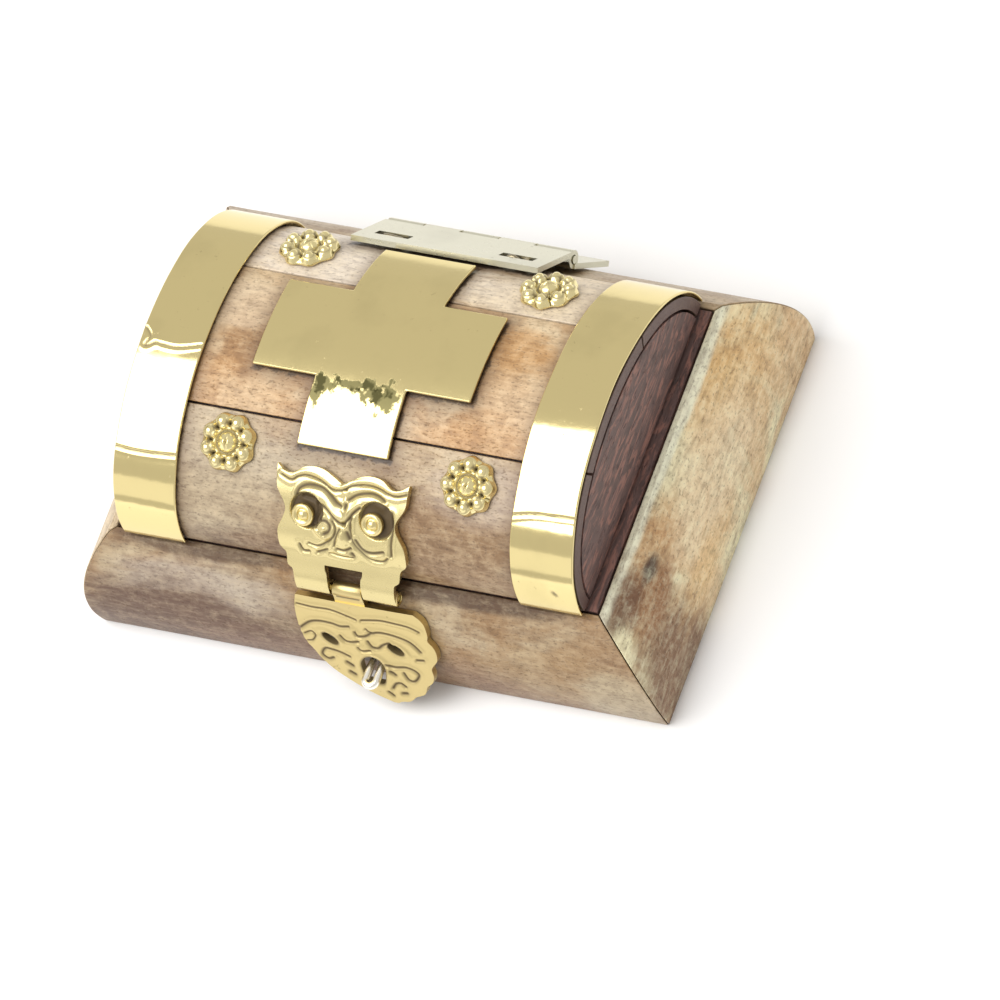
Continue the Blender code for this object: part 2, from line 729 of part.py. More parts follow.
def flap_half_width(down):
    """Wide cheeks below square shoulders, drawing in to the chin."""
    share = max(0.0, (down - FLAP_SHOULDER) / (FLAP_LENGTH - FLAP_SHOULDER))
    brow = -0.0016 * hill(share, 0.16)
    jaw = -0.0040 * max(0.0, share - 0.55) ** 1.5 / 0.45**1.5
    scallop = 0.00025 * math.cos(2 * math.pi * share / 0.21)
    return FLAP_HALF_WIDTH + brow + jaw + scallop * min(1.0, share / 0.2)


def flap_relief(across, down):
    """Brows, a broad nose, round cheeks and the rim of the mouth."""
    x = abs(across - FLAP_FACE_X)
    brow = down - (FLAP_EYE_DOWN - 0.0022 + 0.18 * max(0.0, x - FLAP_EYE_X) ** 1.2)
    nose = math.hypot(x / 0.8, (down - FLAP_EYE_DOWN + 0.0005) / 1.5)
    cheek = math.hypot(x - 0.0052, down - FLAP_EYE_DOWN - 0.0038)
    from_mouth = across + flap_lean(down) - STAPLE_X
    mouth = math.hypot(from_mouth, (down - STAPLE_DOWN - 0.0014) / 1.4) - MOUTH_HALF_WIDTH - 0.0006
    rise = 0.0003 * hill(brow, 0.0006) + 0.0005 * hill(nose, 0.0013)
    return rise + 0.0004 * hill(cheek, 0.0016) + 0.0003 * hill(mouth, 0.0005)


def on_flap(across, down, lift):
    """A place on the flap, which bulges like a mask."""
    share = down / FLAP_LENGTH
    spread = 1 - (across / FLAP_HALF_WIDTH) ** 2
    bulge = FLAP_DOME * spread * math.sin(math.pi * min(1.0, max(0.0, share) ** 0.8))
    pin = Vector((0, HASP_Y, HASP_Z))
    away = lift - FLAP_THICKNESS / 2 + bulge
    return pin + Vector((across + flap_lean(down), 0, 0)) + FLAP_DOWN * down + FLAP_OUT * away


def flap_cutter(name, outline, helpers, colour):
    """A cutter through the flap, from an outline in (across, down)."""
    bm = bmesh.new()
    deep = 4 * FLAP_THICKNESS
    ends = []
    for away in (-deep, deep):
        base = Vector((0, HASP_Y, HASP_Z)) + FLAP_OUT * away
        ends.append([bm.verts.new(base + Vector((a, 0, 0)) + FLAP_DOWN * d) for a, d in outline])
    count = len(outline)
    for step in range(count):
        after = (step + 1) % count
        bm.faces.new((ends[0][step], ends[0][after], ends[1][after], ends[1][step]))
    bm.faces.new(ends[0])
    bm.faces.new(ends[1])
    cutter = add_piece(name, mesh_of(bm, name), helpers, colour)
    hide(cutter)
    return cutter


def mouth_outline():
    """A keyhole mouth: round above, where the staple stands, and narrower below."""
    points = []
    turns = 12
    for step in range(turns + 1):
        angle = math.pi + math.pi * step / turns
        across = STAPLE_X + MOUTH_HALF_WIDTH * math.cos(angle)
        points.append((across, STAPLE_DOWN + MOUTH_HALF_WIDTH * math.sin(angle)))
    low = STAPLE_DOWN + MOUTH_BELOW
    points.append((STAPLE_X + MOUTH_HALF_WIDTH * 0.9, low - MOUTH_HALF_WIDTH * 0.3))
    points.append((STAPLE_X + MOUTH_HALF_WIDTH * 0.6, low))
    points.append((STAPLE_X - MOUTH_HALF_WIDTH * 0.6, low))
    points.append((STAPLE_X - MOUTH_HALF_WIDTH * 0.9, low - MOUTH_HALF_WIDTH * 0.3))
    return points


def eye_outline(sign):
    """A slanting oval."""
    points = []
    turns = 12
    tilt = math.radians(28)
    for step in range(turns):
        angle = 2 * math.pi * step / turns
        long_way = FLAP_EYE_LENGTH / 2 * math.cos(angle)
        short_way = FLAP_EYE_WIDTH / 2 * math.sin(angle)
        middle = sign * FLAP_EYE_X + FLAP_FACE_X + flap_lean(FLAP_EYE_DOWN)
        across = middle + long_way * math.cos(tilt) - short_way * math.sin(tilt)
        down = FLAP_EYE_DOWN + long_way * math.sin(tilt) + short_way * math.cos(tilt)
        points.append((across, down))
    return points


def add_flap(group, helpers, brass, axis):
    """The hasp's flap: a beast's mask with a tongue that turns on the pin."""
    flat = outlined_grid(30, 22, flap_top, flap_bottom, flap_half_width)
    mesh = cast_plate("hasp_flap", flat, FLAP_THICKNESS, flap_relief, on_flap)
    flap = add_piece("hasp_flap", mesh, group, brass, axis, smooth=True)
    for hand, sign in (("left", -1), ("right", 1)):
        run_cutter(flap, flap_cutter(f"flap_eye_{hand}", eye_outline(sign), helpers, brass))
    run_cutter(flap, flap_cutter("flap_mouth", mouth_outline(), helpers, brass))
    half = OWL_SLOT - TOUCH
    join_knuckle(
        flap, "flap_knuckle", -half, half, HASP_Y, HASP_Z, HASP_KNUCKLE, HASP_PIN, helpers, brass
    )


def add_hinge_leaf(name, group, helpers, brass, axis, slope, side, width, odd):
    """A hinge leaf from its knuckles. side is -1 where it leans over the lid and 1 below."""
    length = HINGE_LENGTH
    left = HINGE_X - length / 2
    edge = HINGE_KNUCKLE - HINGE_LEAF / 2
    run = Vector((side * math.cos(slope), -side * math.sin(slope)))
    off = Vector((math.sin(slope), math.cos(slope))) * -side
    centre = Vector((HINGE_Y, HINGE_Z)) + off * edge
    near = centre + run * (HINGE_KNUCKLE * 0.15)
    far = centre + run * width
    half = off * HINGE_LEAF / 2
    outline = [near + half, far + half, far - half, near - half]
    mesh = run_of_profile(name, [tuple(p) for p in outline], left, left + length)
    leaf = add_piece(name, mesh, group, brass, axis)
    share = length / HINGE_KNUCKLES
    reach = HINGE_KNUCKLE + TOUCH
    for knuckle in range(HINGE_KNUCKLES):
        start = left + share * knuckle
        end = start + share
        if knuckle % 2 == odd:
            join_knuckle(
                leaf, f"{name}_knuckle_{knuckle}", start + TOUCH / 2, end - TOUCH / 2,
                HINGE_Y, HINGE_Z, HINGE_KNUCKLE, HINGE_PIN, helpers, brass,
            )
        else:
            gap = rod_mesh(f"{name}_gap_{knuckle}", reach, start - TOUCH / 2, end + TOUCH / 2, HINGE_Y, HINGE_Z)
            cutter = add_piece(f"{name}_gap_{knuckle}", gap, helpers, brass)
            hide(cutter)
            run_cutter(leaf, cutter)
    return leaf, centre, run, off


def add_hinge(group, helpers, brass, axis):
    """A butt hinge on the back: one leaf stands over the lid's curve, one lies on the moulding."""
    leaf, centre, run, off = add_hinge_leaf(
        "hinge_leaf_lid", group, helpers, brass, axis, LID_LEAF_SLOPE, -1, LID_LEAF_WIDTH, 1
    )
    for hand, sign in (("left", -1), ("right", 1)):
        middle = centre + run * SLOT_FROM_PIN
        turn = Matrix.Rotation(-LID_LEAF_SLOPE, 4, "X")
        place = Matrix.Translation((HINGE_X + sign * SLOT_X, middle.x, middle.y)) @ turn
        slot = box_mesh(
            f"leaf_slot_{hand}",
            (-SLOT_LENGTH / 2, -SLOT_WIDTH / 2, -HINGE_LEAF),
            (SLOT_LENGTH / 2, SLOT_WIDTH / 2, HINGE_LEAF),
        )
        slot.transform(place)
        cutter = add_piece(f"leaf_slot_{hand}", slot, helpers, brass)
        hide(cutter)
        run_cutter(leaf, cutter)
        reach = SLOT_LENGTH / 2 - BRAD_RADIUS - TOUCH
        points = [(step * reach / 2, 0.0, 0.0) for step in (-2, -1, 0, 1, 2)]
        brad = wire_mesh(f"hinge_brad_{hand}", points, BRAD_RADIUS)
        brad.transform(place)
        add_piece(f"hinge_brad_{hand}", brad, group, brass, axis, smooth=True)
    add_hinge_leaf("hinge_leaf_base", group, helpers, brass, None, BASE_LEAF_SLOPE, 1, BASE_LEAF_WIDTH, 0)
    half = HINGE_LENGTH / 2
    pin = rod_mesh("hinge_pin", HINGE_PIN, HINGE_X - half, HINGE_X + half, HINGE_Y, HINGE_Z)
    add_piece("hinge_pin", pin, group, brass, smooth=True)


def add_hasp_pin(group, brass, axis):
    pin = rod_mesh("hasp_pin", HASP_PIN, -HASP_PIN_REACH, HASP_PIN_REACH, HASP_Y, HASP_Z)
    add_piece("hasp_pin", pin, group, brass, axis, smooth=True)


def main():
    clear_scene()
    box = collection("incense_box")
    helpers = collection("cutters")
    bone = material("stained bone", BONE_COLOUR, 0.45)
    pale = material("pale bone", PALE_BONE, 0.45)
    brass = material("brass", BRASS_COLOUR, 0.28, 1.0)
    wood = material("dark wood", WOOD_COLOUR, 0.6)
    lid_axis = add_axis("lid_axis", HINGE_Y, HINGE_Z, box)
    hasp_axis = add_axis("hasp_axis", HASP_Y, HASP_Z, box, lid_axis)
    add_tray(box, helpers, wood)
    add_mouldings(box, helpers, bone)
    add_staple(box, brass)
    add_lid_shell(box, helpers, wood, lid_axis)
    add_bone_plates(box, bone, pale, lid_axis)
    add_bands(box, brass, lid_axis)
    add_cross(box, brass, lid_axis)
    add_rosettes(box, brass, lid_axis)
    add_owl_plate(box, helpers, brass, lid_axis)
    add_owl_eyes(box, brass, lid_axis)
    add_hasp_pin(box, brass, lid_axis)
    add_hinge(box, helpers, brass, lid_axis)
    add_flap(box, helpers, brass, hasp_axis)


main()
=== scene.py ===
"""The looks of a small incense box: bone mouldings and plates, dark wood, and brass mounts.
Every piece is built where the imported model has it, in metres, the front towards -Y."""

import math

import bmesh
import bpy
import numpy as np
from mathutils import Matrix, Vector, noise


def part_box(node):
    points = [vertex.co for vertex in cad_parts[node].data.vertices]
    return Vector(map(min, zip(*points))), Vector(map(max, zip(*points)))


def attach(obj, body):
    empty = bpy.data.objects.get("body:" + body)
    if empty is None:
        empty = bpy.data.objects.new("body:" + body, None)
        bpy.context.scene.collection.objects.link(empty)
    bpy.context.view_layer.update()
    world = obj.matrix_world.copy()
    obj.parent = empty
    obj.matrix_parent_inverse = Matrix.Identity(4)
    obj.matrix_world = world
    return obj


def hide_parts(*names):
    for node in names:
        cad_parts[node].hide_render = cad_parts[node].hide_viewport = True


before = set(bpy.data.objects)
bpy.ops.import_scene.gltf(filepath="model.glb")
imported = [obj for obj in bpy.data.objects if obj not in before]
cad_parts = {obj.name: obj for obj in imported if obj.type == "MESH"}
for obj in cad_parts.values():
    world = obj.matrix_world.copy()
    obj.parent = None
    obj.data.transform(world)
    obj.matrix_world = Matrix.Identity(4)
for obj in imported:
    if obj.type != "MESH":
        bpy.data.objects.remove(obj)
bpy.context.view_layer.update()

bl_info = {
    "name": "Incense Box",
    "version": (1, 0, 0),
    "blender": (4, 5, 0),
    "location": "3D View > Sidebar > Incense Box",
    "description": "Builds a bone and brass incense box with a barrel lid and a hasp",
    "category": "Add Mesh",
}

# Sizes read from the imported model
BASE_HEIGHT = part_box("tray")[1].z
BAND_LOW, BAND_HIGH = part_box("band_left")
LID_HALF_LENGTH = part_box("band_right")[1].x
LID_HALF_DEPTH = BAND_HIGH.y
LID_BOTTOM = BAND_LOW.z
LID_RISE = BAND_HIGH.z - BAND_LOW.z
PLATE_HALF_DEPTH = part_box("bone_plate_back")[1].y
BONE_DROP = LID_HALF_DEPTH - PLATE_HALF_DEPTH
FRONT_SEAM_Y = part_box("bone_plate_top")[0].y
BACK_SEAM_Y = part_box("bone_plate_top")[1].y
MOULDING_REACH = -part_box("moulding_front")[0].y
END_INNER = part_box("moulding_right")[0].x
CROSS_LOW, CROSS_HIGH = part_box("cross")
LEAF_LOW, LEAF_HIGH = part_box("hinge_leaf_lid")
PIN_LOW, PIN_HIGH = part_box("hasp_pin")
HASP_PIN = (PIN_LOW + PIN_HIGH) / 2
STAPLE_LOW, STAPLE_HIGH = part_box("staple")

# Sizes that belong to the way the pieces are made
GAP = 0.0003
BONE = 0.0016
MOULDING_TOP = 0.0008
MOULDING_RADIUS = 0.0167
OWL_THICKNESS = 0.0008
OWL_KNUCKLE_INNER = 0.0023
OWL_KNUCKLE_OUTER = 0.0068
HASP_SLOPE = math.radians(27)
FLAP_LENGTH = 0.0162
FLAP_THICKNESS = 0.0009
FLAP_DOME = 0.0003
FLAP_KNUCKLE_HALF = 0.002
TONGUE_HALF = 2.0
TONGUE_START = 0.2
KNUCKLE = 0.0009
KNUCKLE_BORE = 0.0005
MM = 0.001


def length_setting(name, description, default):
    return bpy.props.FloatProperty(name=name, description=description, default=default, unit="LENGTH")


def colour_setting(name, description, default):
    return bpy.props.FloatVectorProperty(
        name=name, description=description, default=default, subtype="COLOR", size=3
    )


class IncenseBoxSizes(bpy.types.PropertyGroup):
    """Sizes of the brass and of the bone's edges."""

    arris: length_setting("Arris", "Width of the rubbed edge on the bone", 0.00016)
    brass_edge: length_setting("Brass edge", "Width of the rounded edge on sheet brass", 0.00014)
    band_thickness: length_setting("Band thickness", "Thickness of the two bands", 0.0004)
    cross_arm: length_setting("Cross arm", "Width of the arms of the cross", 0.0122)
    cross_thickness: length_setting("Cross thickness", "Thickness of the cross", 0.0005)
    rosette_radius: length_setting("Rosette radius", "Radius of a rosette stud", 0.00375)
    owl_half_width: length_setting("Owl half width", "Half the width of the owl plate", 0.0089)
    flap_half_width: length_setting("Flap half width", "Half the width of the hasp's flap", 0.0092)


class IncenseBoxColours(bpy.types.PropertyGroup):
    """Colours of the finishes."""

    brass: colour_setting("Brass", "Polished brass", (0.80, 0.67, 0.33))
    # The tarnish colour also serves as painted shade in the owl's nail sockets and round the flap's slots.
    tarnish: colour_setting("Tarnish", "Brown film in the brass's hollows", (0.085, 0.055, 0.022))
    pale_bone: colour_setting("Pale bone", "Bone where the stain is thin", (0.42, 0.33, 0.21))
    bone: colour_setting("Bone", "Stained bone", (0.29, 0.19, 0.095))
    # Dark bone is also the colour of the painted shade round the mounts on the lid.
    dark_bone: colour_setting("Dark bone", "Bone where the stain is deep", (0.10, 0.047, 0.02))
    wood: colour_setting("Wood", "Dark wood", (0.15, 0.090, 0.080))


def sizes():
    return bpy.context.scene.incense_box_sizes


def colours():
    return bpy.context.scene.incense_box_colours


def scaled(colour, share, most=1.0):
    """A colour made darker or lighter, no part of it over the most."""
    return tuple(min(part * share, most) for part in colour)


class Socket:
    """A shader value that can be written in an expression."""

    def __init__(self, tree, link):
        self.tree = tree
        self.link = link

    def maths(self, operation, *others):
        values = {step: value for step, value in enumerate((self, *others))}
        return add_node(self.tree, "ShaderNodeMath", {"operation": operation}, values)

    def __add__(self, other):
        return self.maths("ADD", other)

    __radd__ = __add__

    def __sub__(self, other):
        return self.maths("SUBTRACT", other)

    def __rsub__(self, other):
        return (self * -1) + other

    def __mul__(self, other):
        return self.maths("MULTIPLY", other)

    __rmul__ = __mul__

    def __truediv__(self, other):
        return self.maths("DIVIDE", other)

    def above(self, edge, softness):
        """1 where the value is over the edge, 0 under it, with a soft step between."""
        settings = {"interpolation_type": "SMOOTHSTEP"}
        limits = {"Value": self, "From Min": edge - softness, "From Max": edge + softness}
        return add_node(self.tree, "ShaderNodeMapRange", settings, limits)

    def below(self, edge, softness):
        return 1 - self.above(edge, softness)


def add_node(tree, kind, settings=None, inputs=None, output=0):
    """Adds a node, sets it, then fills its sockets with values or links."""
    node = tree.nodes.new(kind)
    for name, value in (settings or {}).items():
        setattr(node, name, value)
    for name, value in (inputs or {}).items():
        socket = node.inputs[name]
        if isinstance(value, Socket):
            tree.links.new(value.link, socket)
        elif isinstance(value, (tuple, list)) and len(socket.default_value) == 4:
            socket.default_value = (*value, 1)
        else:
            socket.default_value = value
    return Socket(tree, node.outputs[output])


class Finish:
    """A material under construction, with the patterns that the finishes share."""

    def __init__(self, name):
        self.material = bpy.data.materials.new(name)
        self.material.use_nodes = True
        self.tree = self.material.node_tree
        self.shader = self.tree.nodes["Principled BSDF"]
        self.place = self.add("ShaderNodeTexCoord", output="Object")

    def add(self, kind, settings=None, inputs=None, output=0):
        return add_node(self.tree, kind, settings, inputs, output)

    def vectors(self, operation, inputs, output=0):
        return self.add("ShaderNodeVectorMath", {"operation": operation}, inputs, output)

    def axes(self):
        split = self.add("ShaderNodeSeparateXYZ", None, {"Vector": self.place})
        outputs = split.link.node.outputs
        return [Socket(self.tree, outputs[step]) for step in range(3)]

    def cloud(self, scale, detail=4.0, roughness=0.55, distortion=0.0, shift=0.0):
        """Noise whose patches measure one over the scale, in metres."""
        scales = {"Vector": self.place, "Scale": Vector(scale)}
        where = self.add("ShaderNodeMapping", {"vector_type": "POINT"}, scales)
        moved = self.vectors("ADD", {0: where, 1: Vector((shift,) * 3)})
        inputs = {
            "Vector": moved, "Scale": 1.0, "Detail": detail, "Roughness": roughness, "Distortion": distortion
        }
        return self.add("ShaderNodeTexNoise", None, inputs)

    def ring(self, centre, radius, stretch=(1, 1, 1)):
        """Distance from a place over a radius, both in millimetres, so 1 is the radius."""
        offset = self.vectors("SUBTRACT", {0: self.place, 1: Vector([part * MM for part in centre])})
        wider = self.vectors("MULTIPLY", {0: offset, 1: Vector(stretch)})
        return self.vectors("LENGTH", {0: wider}, "Value") / (radius * MM)

    def blend(self, share, first, second):
        """One colour passing into another."""
        settings = {"data_type": "RGBA", "clamp_factor": True}
        return self.add("ShaderNodeMix", settings, {0: share, 6: first, 7: second}, output=2)

    def use(self, colour, roughness, height=None, depth=0.0001, **others):
        inputs = self.shader.inputs
        for name, value in (("Base Color", colour), ("Roughness", roughness)):
            if isinstance(value, Socket):
                self.tree.links.new(value.link, inputs[name])
            elif name == "Base Color":
                inputs[name].default_value = (*value, 1)
            else:
                inputs[name].default_value = value
        for name, value in others.items():
            inputs[name.replace("_", " ")].default_value = value
        if height is not None:
            settings = {"Height": height, "Strength": 1.0, "Distance": depth}
            bump = self.add("ShaderNodeBump", None, settings)
            self.tree.links.new(bump.link, inputs["Normal"])
        return self.material


def brass_finish(name, rough=0.10, tarnish_and_shade=False, tint=None, stains=()):
    """Brass with fine rubbing and a few specks. Engraved pieces carry how deep each point lies,
    and the hollows hold tarnish; on the owl and the flap the same dark also stands for painted shade in the
    nail sockets and round the slots. Each stain is (centre, radius, stretch) in millimetres."""
    finish = Finish(name)
    tints = colours()
    metal = tuple(tint or tints.brass)
    cloudy = finish.cloud((140, 140, 140), 3.0)
    rubbed = finish.cloud((900, 2600, 2600), 3.0)
    specks = finish.cloud((1500, 1500, 1500), 2.0, shift=4.0).above(0.72, 0.03)
    film = cloudy.above(0.62, 0.16) * 0.16 + specks * 0.35
    colour = finish.blend(film, metal, scaled(metal, 0.5))
    roughness = rough + cloudy * 0.05 + rubbed * rough * 0.4 + specks * 0.2
    ragged = finish.cloud((900, 700, 900), 3.0, 0.6, shift=9.0)
    for centre, radius, stretch in stains:
        stain = (finish.ring(centre, radius, stretch) + (ragged - 0.5) * 2.4).below(0.75, 0.15)
        colour = finish.blend(stain * 0.9, colour, (0.13, 0.12, 0.05))
        roughness = roughness + stain * 0.3
    # The sunk attribute darkens towards the tarnish colour: tarnish in engraved lines and hollows, and
    # painted shade in the owl's nail sockets and round the flap's slots.
    if tarnish_and_shade:
        sunk = finish.add("ShaderNodeAttribute", {"attribute_name": "sunk"}, output=2)
        colour = finish.blend(sunk, colour, tuple(tints.tarnish))
        roughness = roughness + sunk * 0.35
        finish.tree.links.new((1 - sunk * 0.9).link, finish.shader.inputs["Metallic"])
    dents = finish.cloud((330, 330, 330), 2.0, shift=2.0)
    height = dents * 0.8 + rubbed * 0.06
    finish.shader.inputs["Metallic"].default_value = 1.0
    return finish.use(colour, roughness, height, 0.00002)


def wood_finish():
    """Dark hardwood, open grained, with a little red along the pores."""
    finish = Finish("dark wood")
    tints = colours()
    grain = finish.cloud((700, 130, 900), 5.0, 0.65, 0.6)
    pores = finish.cloud((2600, 700, 2600), 3.0).above(0.62, 0.06)
    streaks = finish.cloud((1000, 200, 1000), 5.0, 0.65, 1.5, shift=3.0).above(0.55, 0.08)
    warm = tuple(c * f for c, f in zip(tints.wood, (2.6, 2.0, 1.7)))
    colour = finish.blend(grain.above(0.52, 0.2), scaled(tints.wood, 0.6), tuple(tints.wood))
    colour = finish.blend(streaks * 0.6, colour, warm)
    colour = finish.blend(pores * 0.4, colour, scaled(tints.wood, 0.3))
    roughness = 0.38 + grain * 0.2 + pores * 0.2
    return finish.use(colour, roughness, grain - pores * 0.7, 0.00008)


def drawn_out(across, along, axis):
    """Scales of a pattern that is drawn out along one axis."""
    return [along if step == axis else across for step in range(3)]


def bone_finish(name, along, pale=0.5, warmth=0.5, seed=0.0, patches=(), mounts=(), tone=1.0):
    """Stained and polished bone. Its fibres run along one axis, with dirt in the pores, painted
    shade on the bone round the mounts, and a dark stain over the sawn ends.
    Each patch is (centre, radius, stretch, colour, strength), its places in millimetres. The
    tone makes all of it paler."""
    finish = Finish(name)
    tints = colours()
    pale_bone = scaled(tints.pale_bone, tone, 0.85)
    mid_bone = scaled(tints.bone, tone)
    axis = "XYZ".index(along)
    fibre = drawn_out(1900.0, 420.0, axis)
    streak = drawn_out(480.0, 75.0, axis)
    pore = drawn_out(4200.0, 1900.0, axis)
    blot = [70.0, 150.0, 150.0] if axis == 0 else [150.0, 60.0, 150.0]
    blotch = finish.cloud(blot, 5.0, 0.62, 0.8, shift=seed)
    mottle = finish.cloud((620, 620, 620), 6.0, 0.75, 0.3, shift=seed + 7)
    fibres = finish.cloud(fibre, 4.0, 0.6, shift=seed + 1)
    streaks = finish.cloud(streak, 5.0, 0.62, 0.3, shift=seed + 2)
    pores = finish.cloud(pore, 2.0, 0.5, shift=seed + 3).above(0.63, 0.06)
    dark_bone = tuple(tints.dark_bone)
    colour = finish.blend(blotch.above(0.62 - 0.25 * pale, 0.14), mid_bone, pale_bone)
    amber = (0.25 * tone, 0.125 * tone, 0.04 * tone)
    warm = finish.cloud((90, 90, 90), 4.0, 0.6, 0.5, shift=seed + 5).above(0.66 - 0.18 * warmth, 0.10)
    colour = finish.blend(warm * 0.65, colour, amber)
    for centre, radius, stretch, tint, strength in patches:
        edge = finish.ring(centre, radius, stretch) + (blotch - 0.5) * 1.1 + (streaks - 0.5) * 0.9
        share = edge.below(0.95, 0.34) * strength
        colour = finish.blend(share, colour, scaled(tint, tone, 0.85))
    dark = streaks.above(0.60, 0.13) * 0.24 + fibres.above(0.57, 0.14) * 0.24
    dark = dark + mottle.above(0.56, 0.12) * 0.24
    colour = finish.blend(dark, colour, dark_bone)
    light = mottle.below(0.44, 0.12) * 0.20 + fibres.below(0.42, 0.12) * 0.16
    colour = finish.blend(light, colour, scaled(pale_bone, 1.3, 0.9))
    colour = finish.blend(pores * 0.35, colour, scaled(dark_bone, 0.5))
    across, deep, _ = finish.axes()
    # Painted shade: a broad dark halo and a near-black line on the bone round each mount's box, darkest at
    # its edge.
    for low_x, high_x, low_y, high_y in mounts:
        from_x = (across - (low_x + high_x) / 2).maths("ABSOLUTE") - (high_x - low_x) / 2
        from_y = (deep - (low_y + high_y) / 2).maths("ABSOLUTE") - (high_y - low_y) / 2
        reach = from_x.maths("MAXIMUM", from_y) * 1000 + (mottle - 0.5) * 2.2
        colour = finish.blend(reach.below(1.3, 1.5) * 0.55, colour, dark_bone)
        colour = finish.blend(reach.below(0.22, 0.25) * 0.85, colour, scaled(dark_bone, 0.35))
    ends = (across.maths("ABSOLUTE") * 1000).above(LID_HALF_LENGTH * 1000 - 0.06, 0.02)
    if along == "X" and mounts:
        colour = finish.blend(ends * 0.85, colour, scaled(tints.wood, 0.8))
    roughness = 0.34 + streaks * 0.16 + pores * 0.2
    height = fibres * 0.35 + streaks * 0.5 - pores * 0.5
    return finish.use(colour, roughness, height, 0.00005, Coat_Weight=0.10, Coat_Roughness=0.15)


def mesh_from(bm, name):
    bmesh.ops.recalc_face_normals(bm, faces=bm.faces)
    mesh = bpy.data.meshes.new(name)
    bm.to_mesh(mesh)
    bm.free()
    return mesh


def add_piece(name, mesh, finish, body, slot, replaces=(), edge=0.0, sharp=35):
    """Links a piece, rounds its edges, and makes it ride on its body."""
    piece = bpy.data.objects.new(name, mesh)
    bpy.context.scene.collection.objects.link(piece)
    mesh.materials.append(finish)
    mesh.shade_smooth()
    mesh.set_sharp_from_angle(angle=math.radians(sharp))
    if edge:
        bevel = piece.modifiers.new("rounded edge", "BEVEL")
        bevel.width = edge
        bevel.segments = 2
        bevel.limit_method = "ANGLE"
        bevel.angle_limit = math.radians(50)
        bevel.use_clamp_overlap = True
    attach(piece, body)
    if replaces:
        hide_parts(*replaces)


def finish_node(name, finish):
    """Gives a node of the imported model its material."""
    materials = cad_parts[name].data.materials
    materials.clear()
    materials.append(finish)


def vault_arcs():
    """Distances from the crown along the lid's outer curve, and the angles they belong to."""
    angles = np.linspace(0, math.pi / 2, 600)
    y = LID_HALF_DEPTH * np.sin(angles)
    z = LID_RISE * np.cos(angles)
    return np.concatenate([[0], np.cumsum(np.hypot(np.diff(y), np.diff(z)))]), angles


ARCS, ARC_ANGLES = vault_arcs()
LID_ARC = float(ARCS[-1])


def on_vault(across, down, lift):
    """Places on the lid: across it, down from the crown (front positive), lifted off the bone.
    Past the lid's edge they run straight down."""
    angle = np.interp(np.abs(down), ARCS, ARC_ANGLES)
    sine = np.sin(angle)
    cosine = np.cos(angle)
    slope = np.hypot(sine / LID_HALF_DEPTH, cosine / LID_RISE)
    out_y = sine / LID_HALF_DEPTH / slope
    out_z = cosine / LID_RISE / slope
    past = np.maximum(np.abs(down) - LID_ARC, 0)
    reach = lift - BONE_DROP
    y = LID_HALF_DEPTH * sine + out_y * reach
    z = LID_BOTTOM + LID_RISE * cosine + out_z * reach - past
    return np.stack([across, -np.sign(down) * y, z], axis=-1)


def vault_point(angle, inset):
    y = (LID_HALF_DEPTH - inset) * math.sin(angle)
    return y, LID_BOTTOM + (LID_RISE - inset) * math.cos(angle)


def flat_plate(columns, rows, keep=None):
    """A closed plate two layers deep. X and Y run from -1 to 1, Z is 0 behind and 1 in front.
    keep(x, y) says which faces stay."""
    bm = bmesh.new()
    bmesh.ops.create_grid(bm, x_segments=columns, y_segments=rows, size=1)
    if keep:
        lost = [face for face in bm.faces if not keep(*face.calc_center_median().xy)]
        bmesh.ops.delete(bm, geom=lost, context="FACES")
    front = bmesh.ops.extrude_face_region(bm, geom=bm.faces[:])["geom"]
    for vertex in front:
        if isinstance(vertex, bmesh.types.BMVert):
            vertex.co.z = 1
    return mesh_from(bm, "plate")


def joined(mesh, *others):
    """One mesh made of several."""
    bm = bmesh.new()
    for part in (mesh, *others):
        bm.from_mesh(part)
    bm.to_mesh(mesh)
    bm.free()
    return mesh


def shaped(mesh, place, engraving=None):
    """Moves a flat plate's points by place(x, y, layer), which works on whole arrays. The
    engraving(x, y) tells how much tarnish each point holds, and on the owl and the flap also painted shade."""
    flat = np.empty(len(mesh.vertices) * 3, np.float32)
    mesh.vertices.foreach_get("co", flat)
    x, y, layer = flat.reshape(-1, 3).astype(float).T
    mesh.vertices.foreach_set("co", place(x, y, layer).astype(np.float32).ravel())
    if engraving:
        sunk = mesh.attributes.new("sunk", "FLOAT", "POINT")
        depth = np.clip(engraving(x, y), 0, 1)
        sunk.data.foreach_set("value", depth.astype(np.float32))
    mesh.update()
    bm = bmesh.new()
    bm.from_mesh(mesh)
    bmesh.ops.remove_doubles(bm, verts=bm.verts, dist=1e-7)
    bmesh.ops.recalc_face_normals(bm, faces=bm.faces)
    bm.to_mesh(mesh)
    bm.free()
    return mesh


def hill(distance, width):
    """A smooth rise of 1 that dies away over width."""
    return np.exp(-((distance / width) ** 2))


def near_line(x, y, path):
    """Distance from each point to an open line through the path's points, in millimetres."""
    nearest = np.full(x.shape, 1e3)
    for (x0, y0), (x1, y1) in zip(path, path[1:]):
        run = (x1 - x0, y1 - y0)
        share = ((x - x0) * run[0] + (y - y0) * run[1]) / (run[0] ** 2 + run[1] ** 2)
        share = np.clip(share, 0, 1)
        nearest = np.minimum(nearest, np.hypot(x - x0 - share * run[0], y - y0 - share * run[1]))
    return nearest


def smooth_path(points, steps=6):
    """A rounder line through a few points."""
    made = []
    ends = [points[0], *points, points[-1]]
    for before, start, end, after in zip(ends, ends[1:], ends[2:], ends[3:]):
        for step in range(steps):
            t = step / steps
            pair = []
            for a, b, c, d in zip(before, start, end, after):
                bend = (2 * a - 5 * b + 4 * c - d) * t**2 + (3 * b - a - 3 * c + d) * t**3
                pair.append(0.5 * (2 * b + (c - a) * t + bend))
            made.append(tuple(pair))
    return [*made, points[-1]]


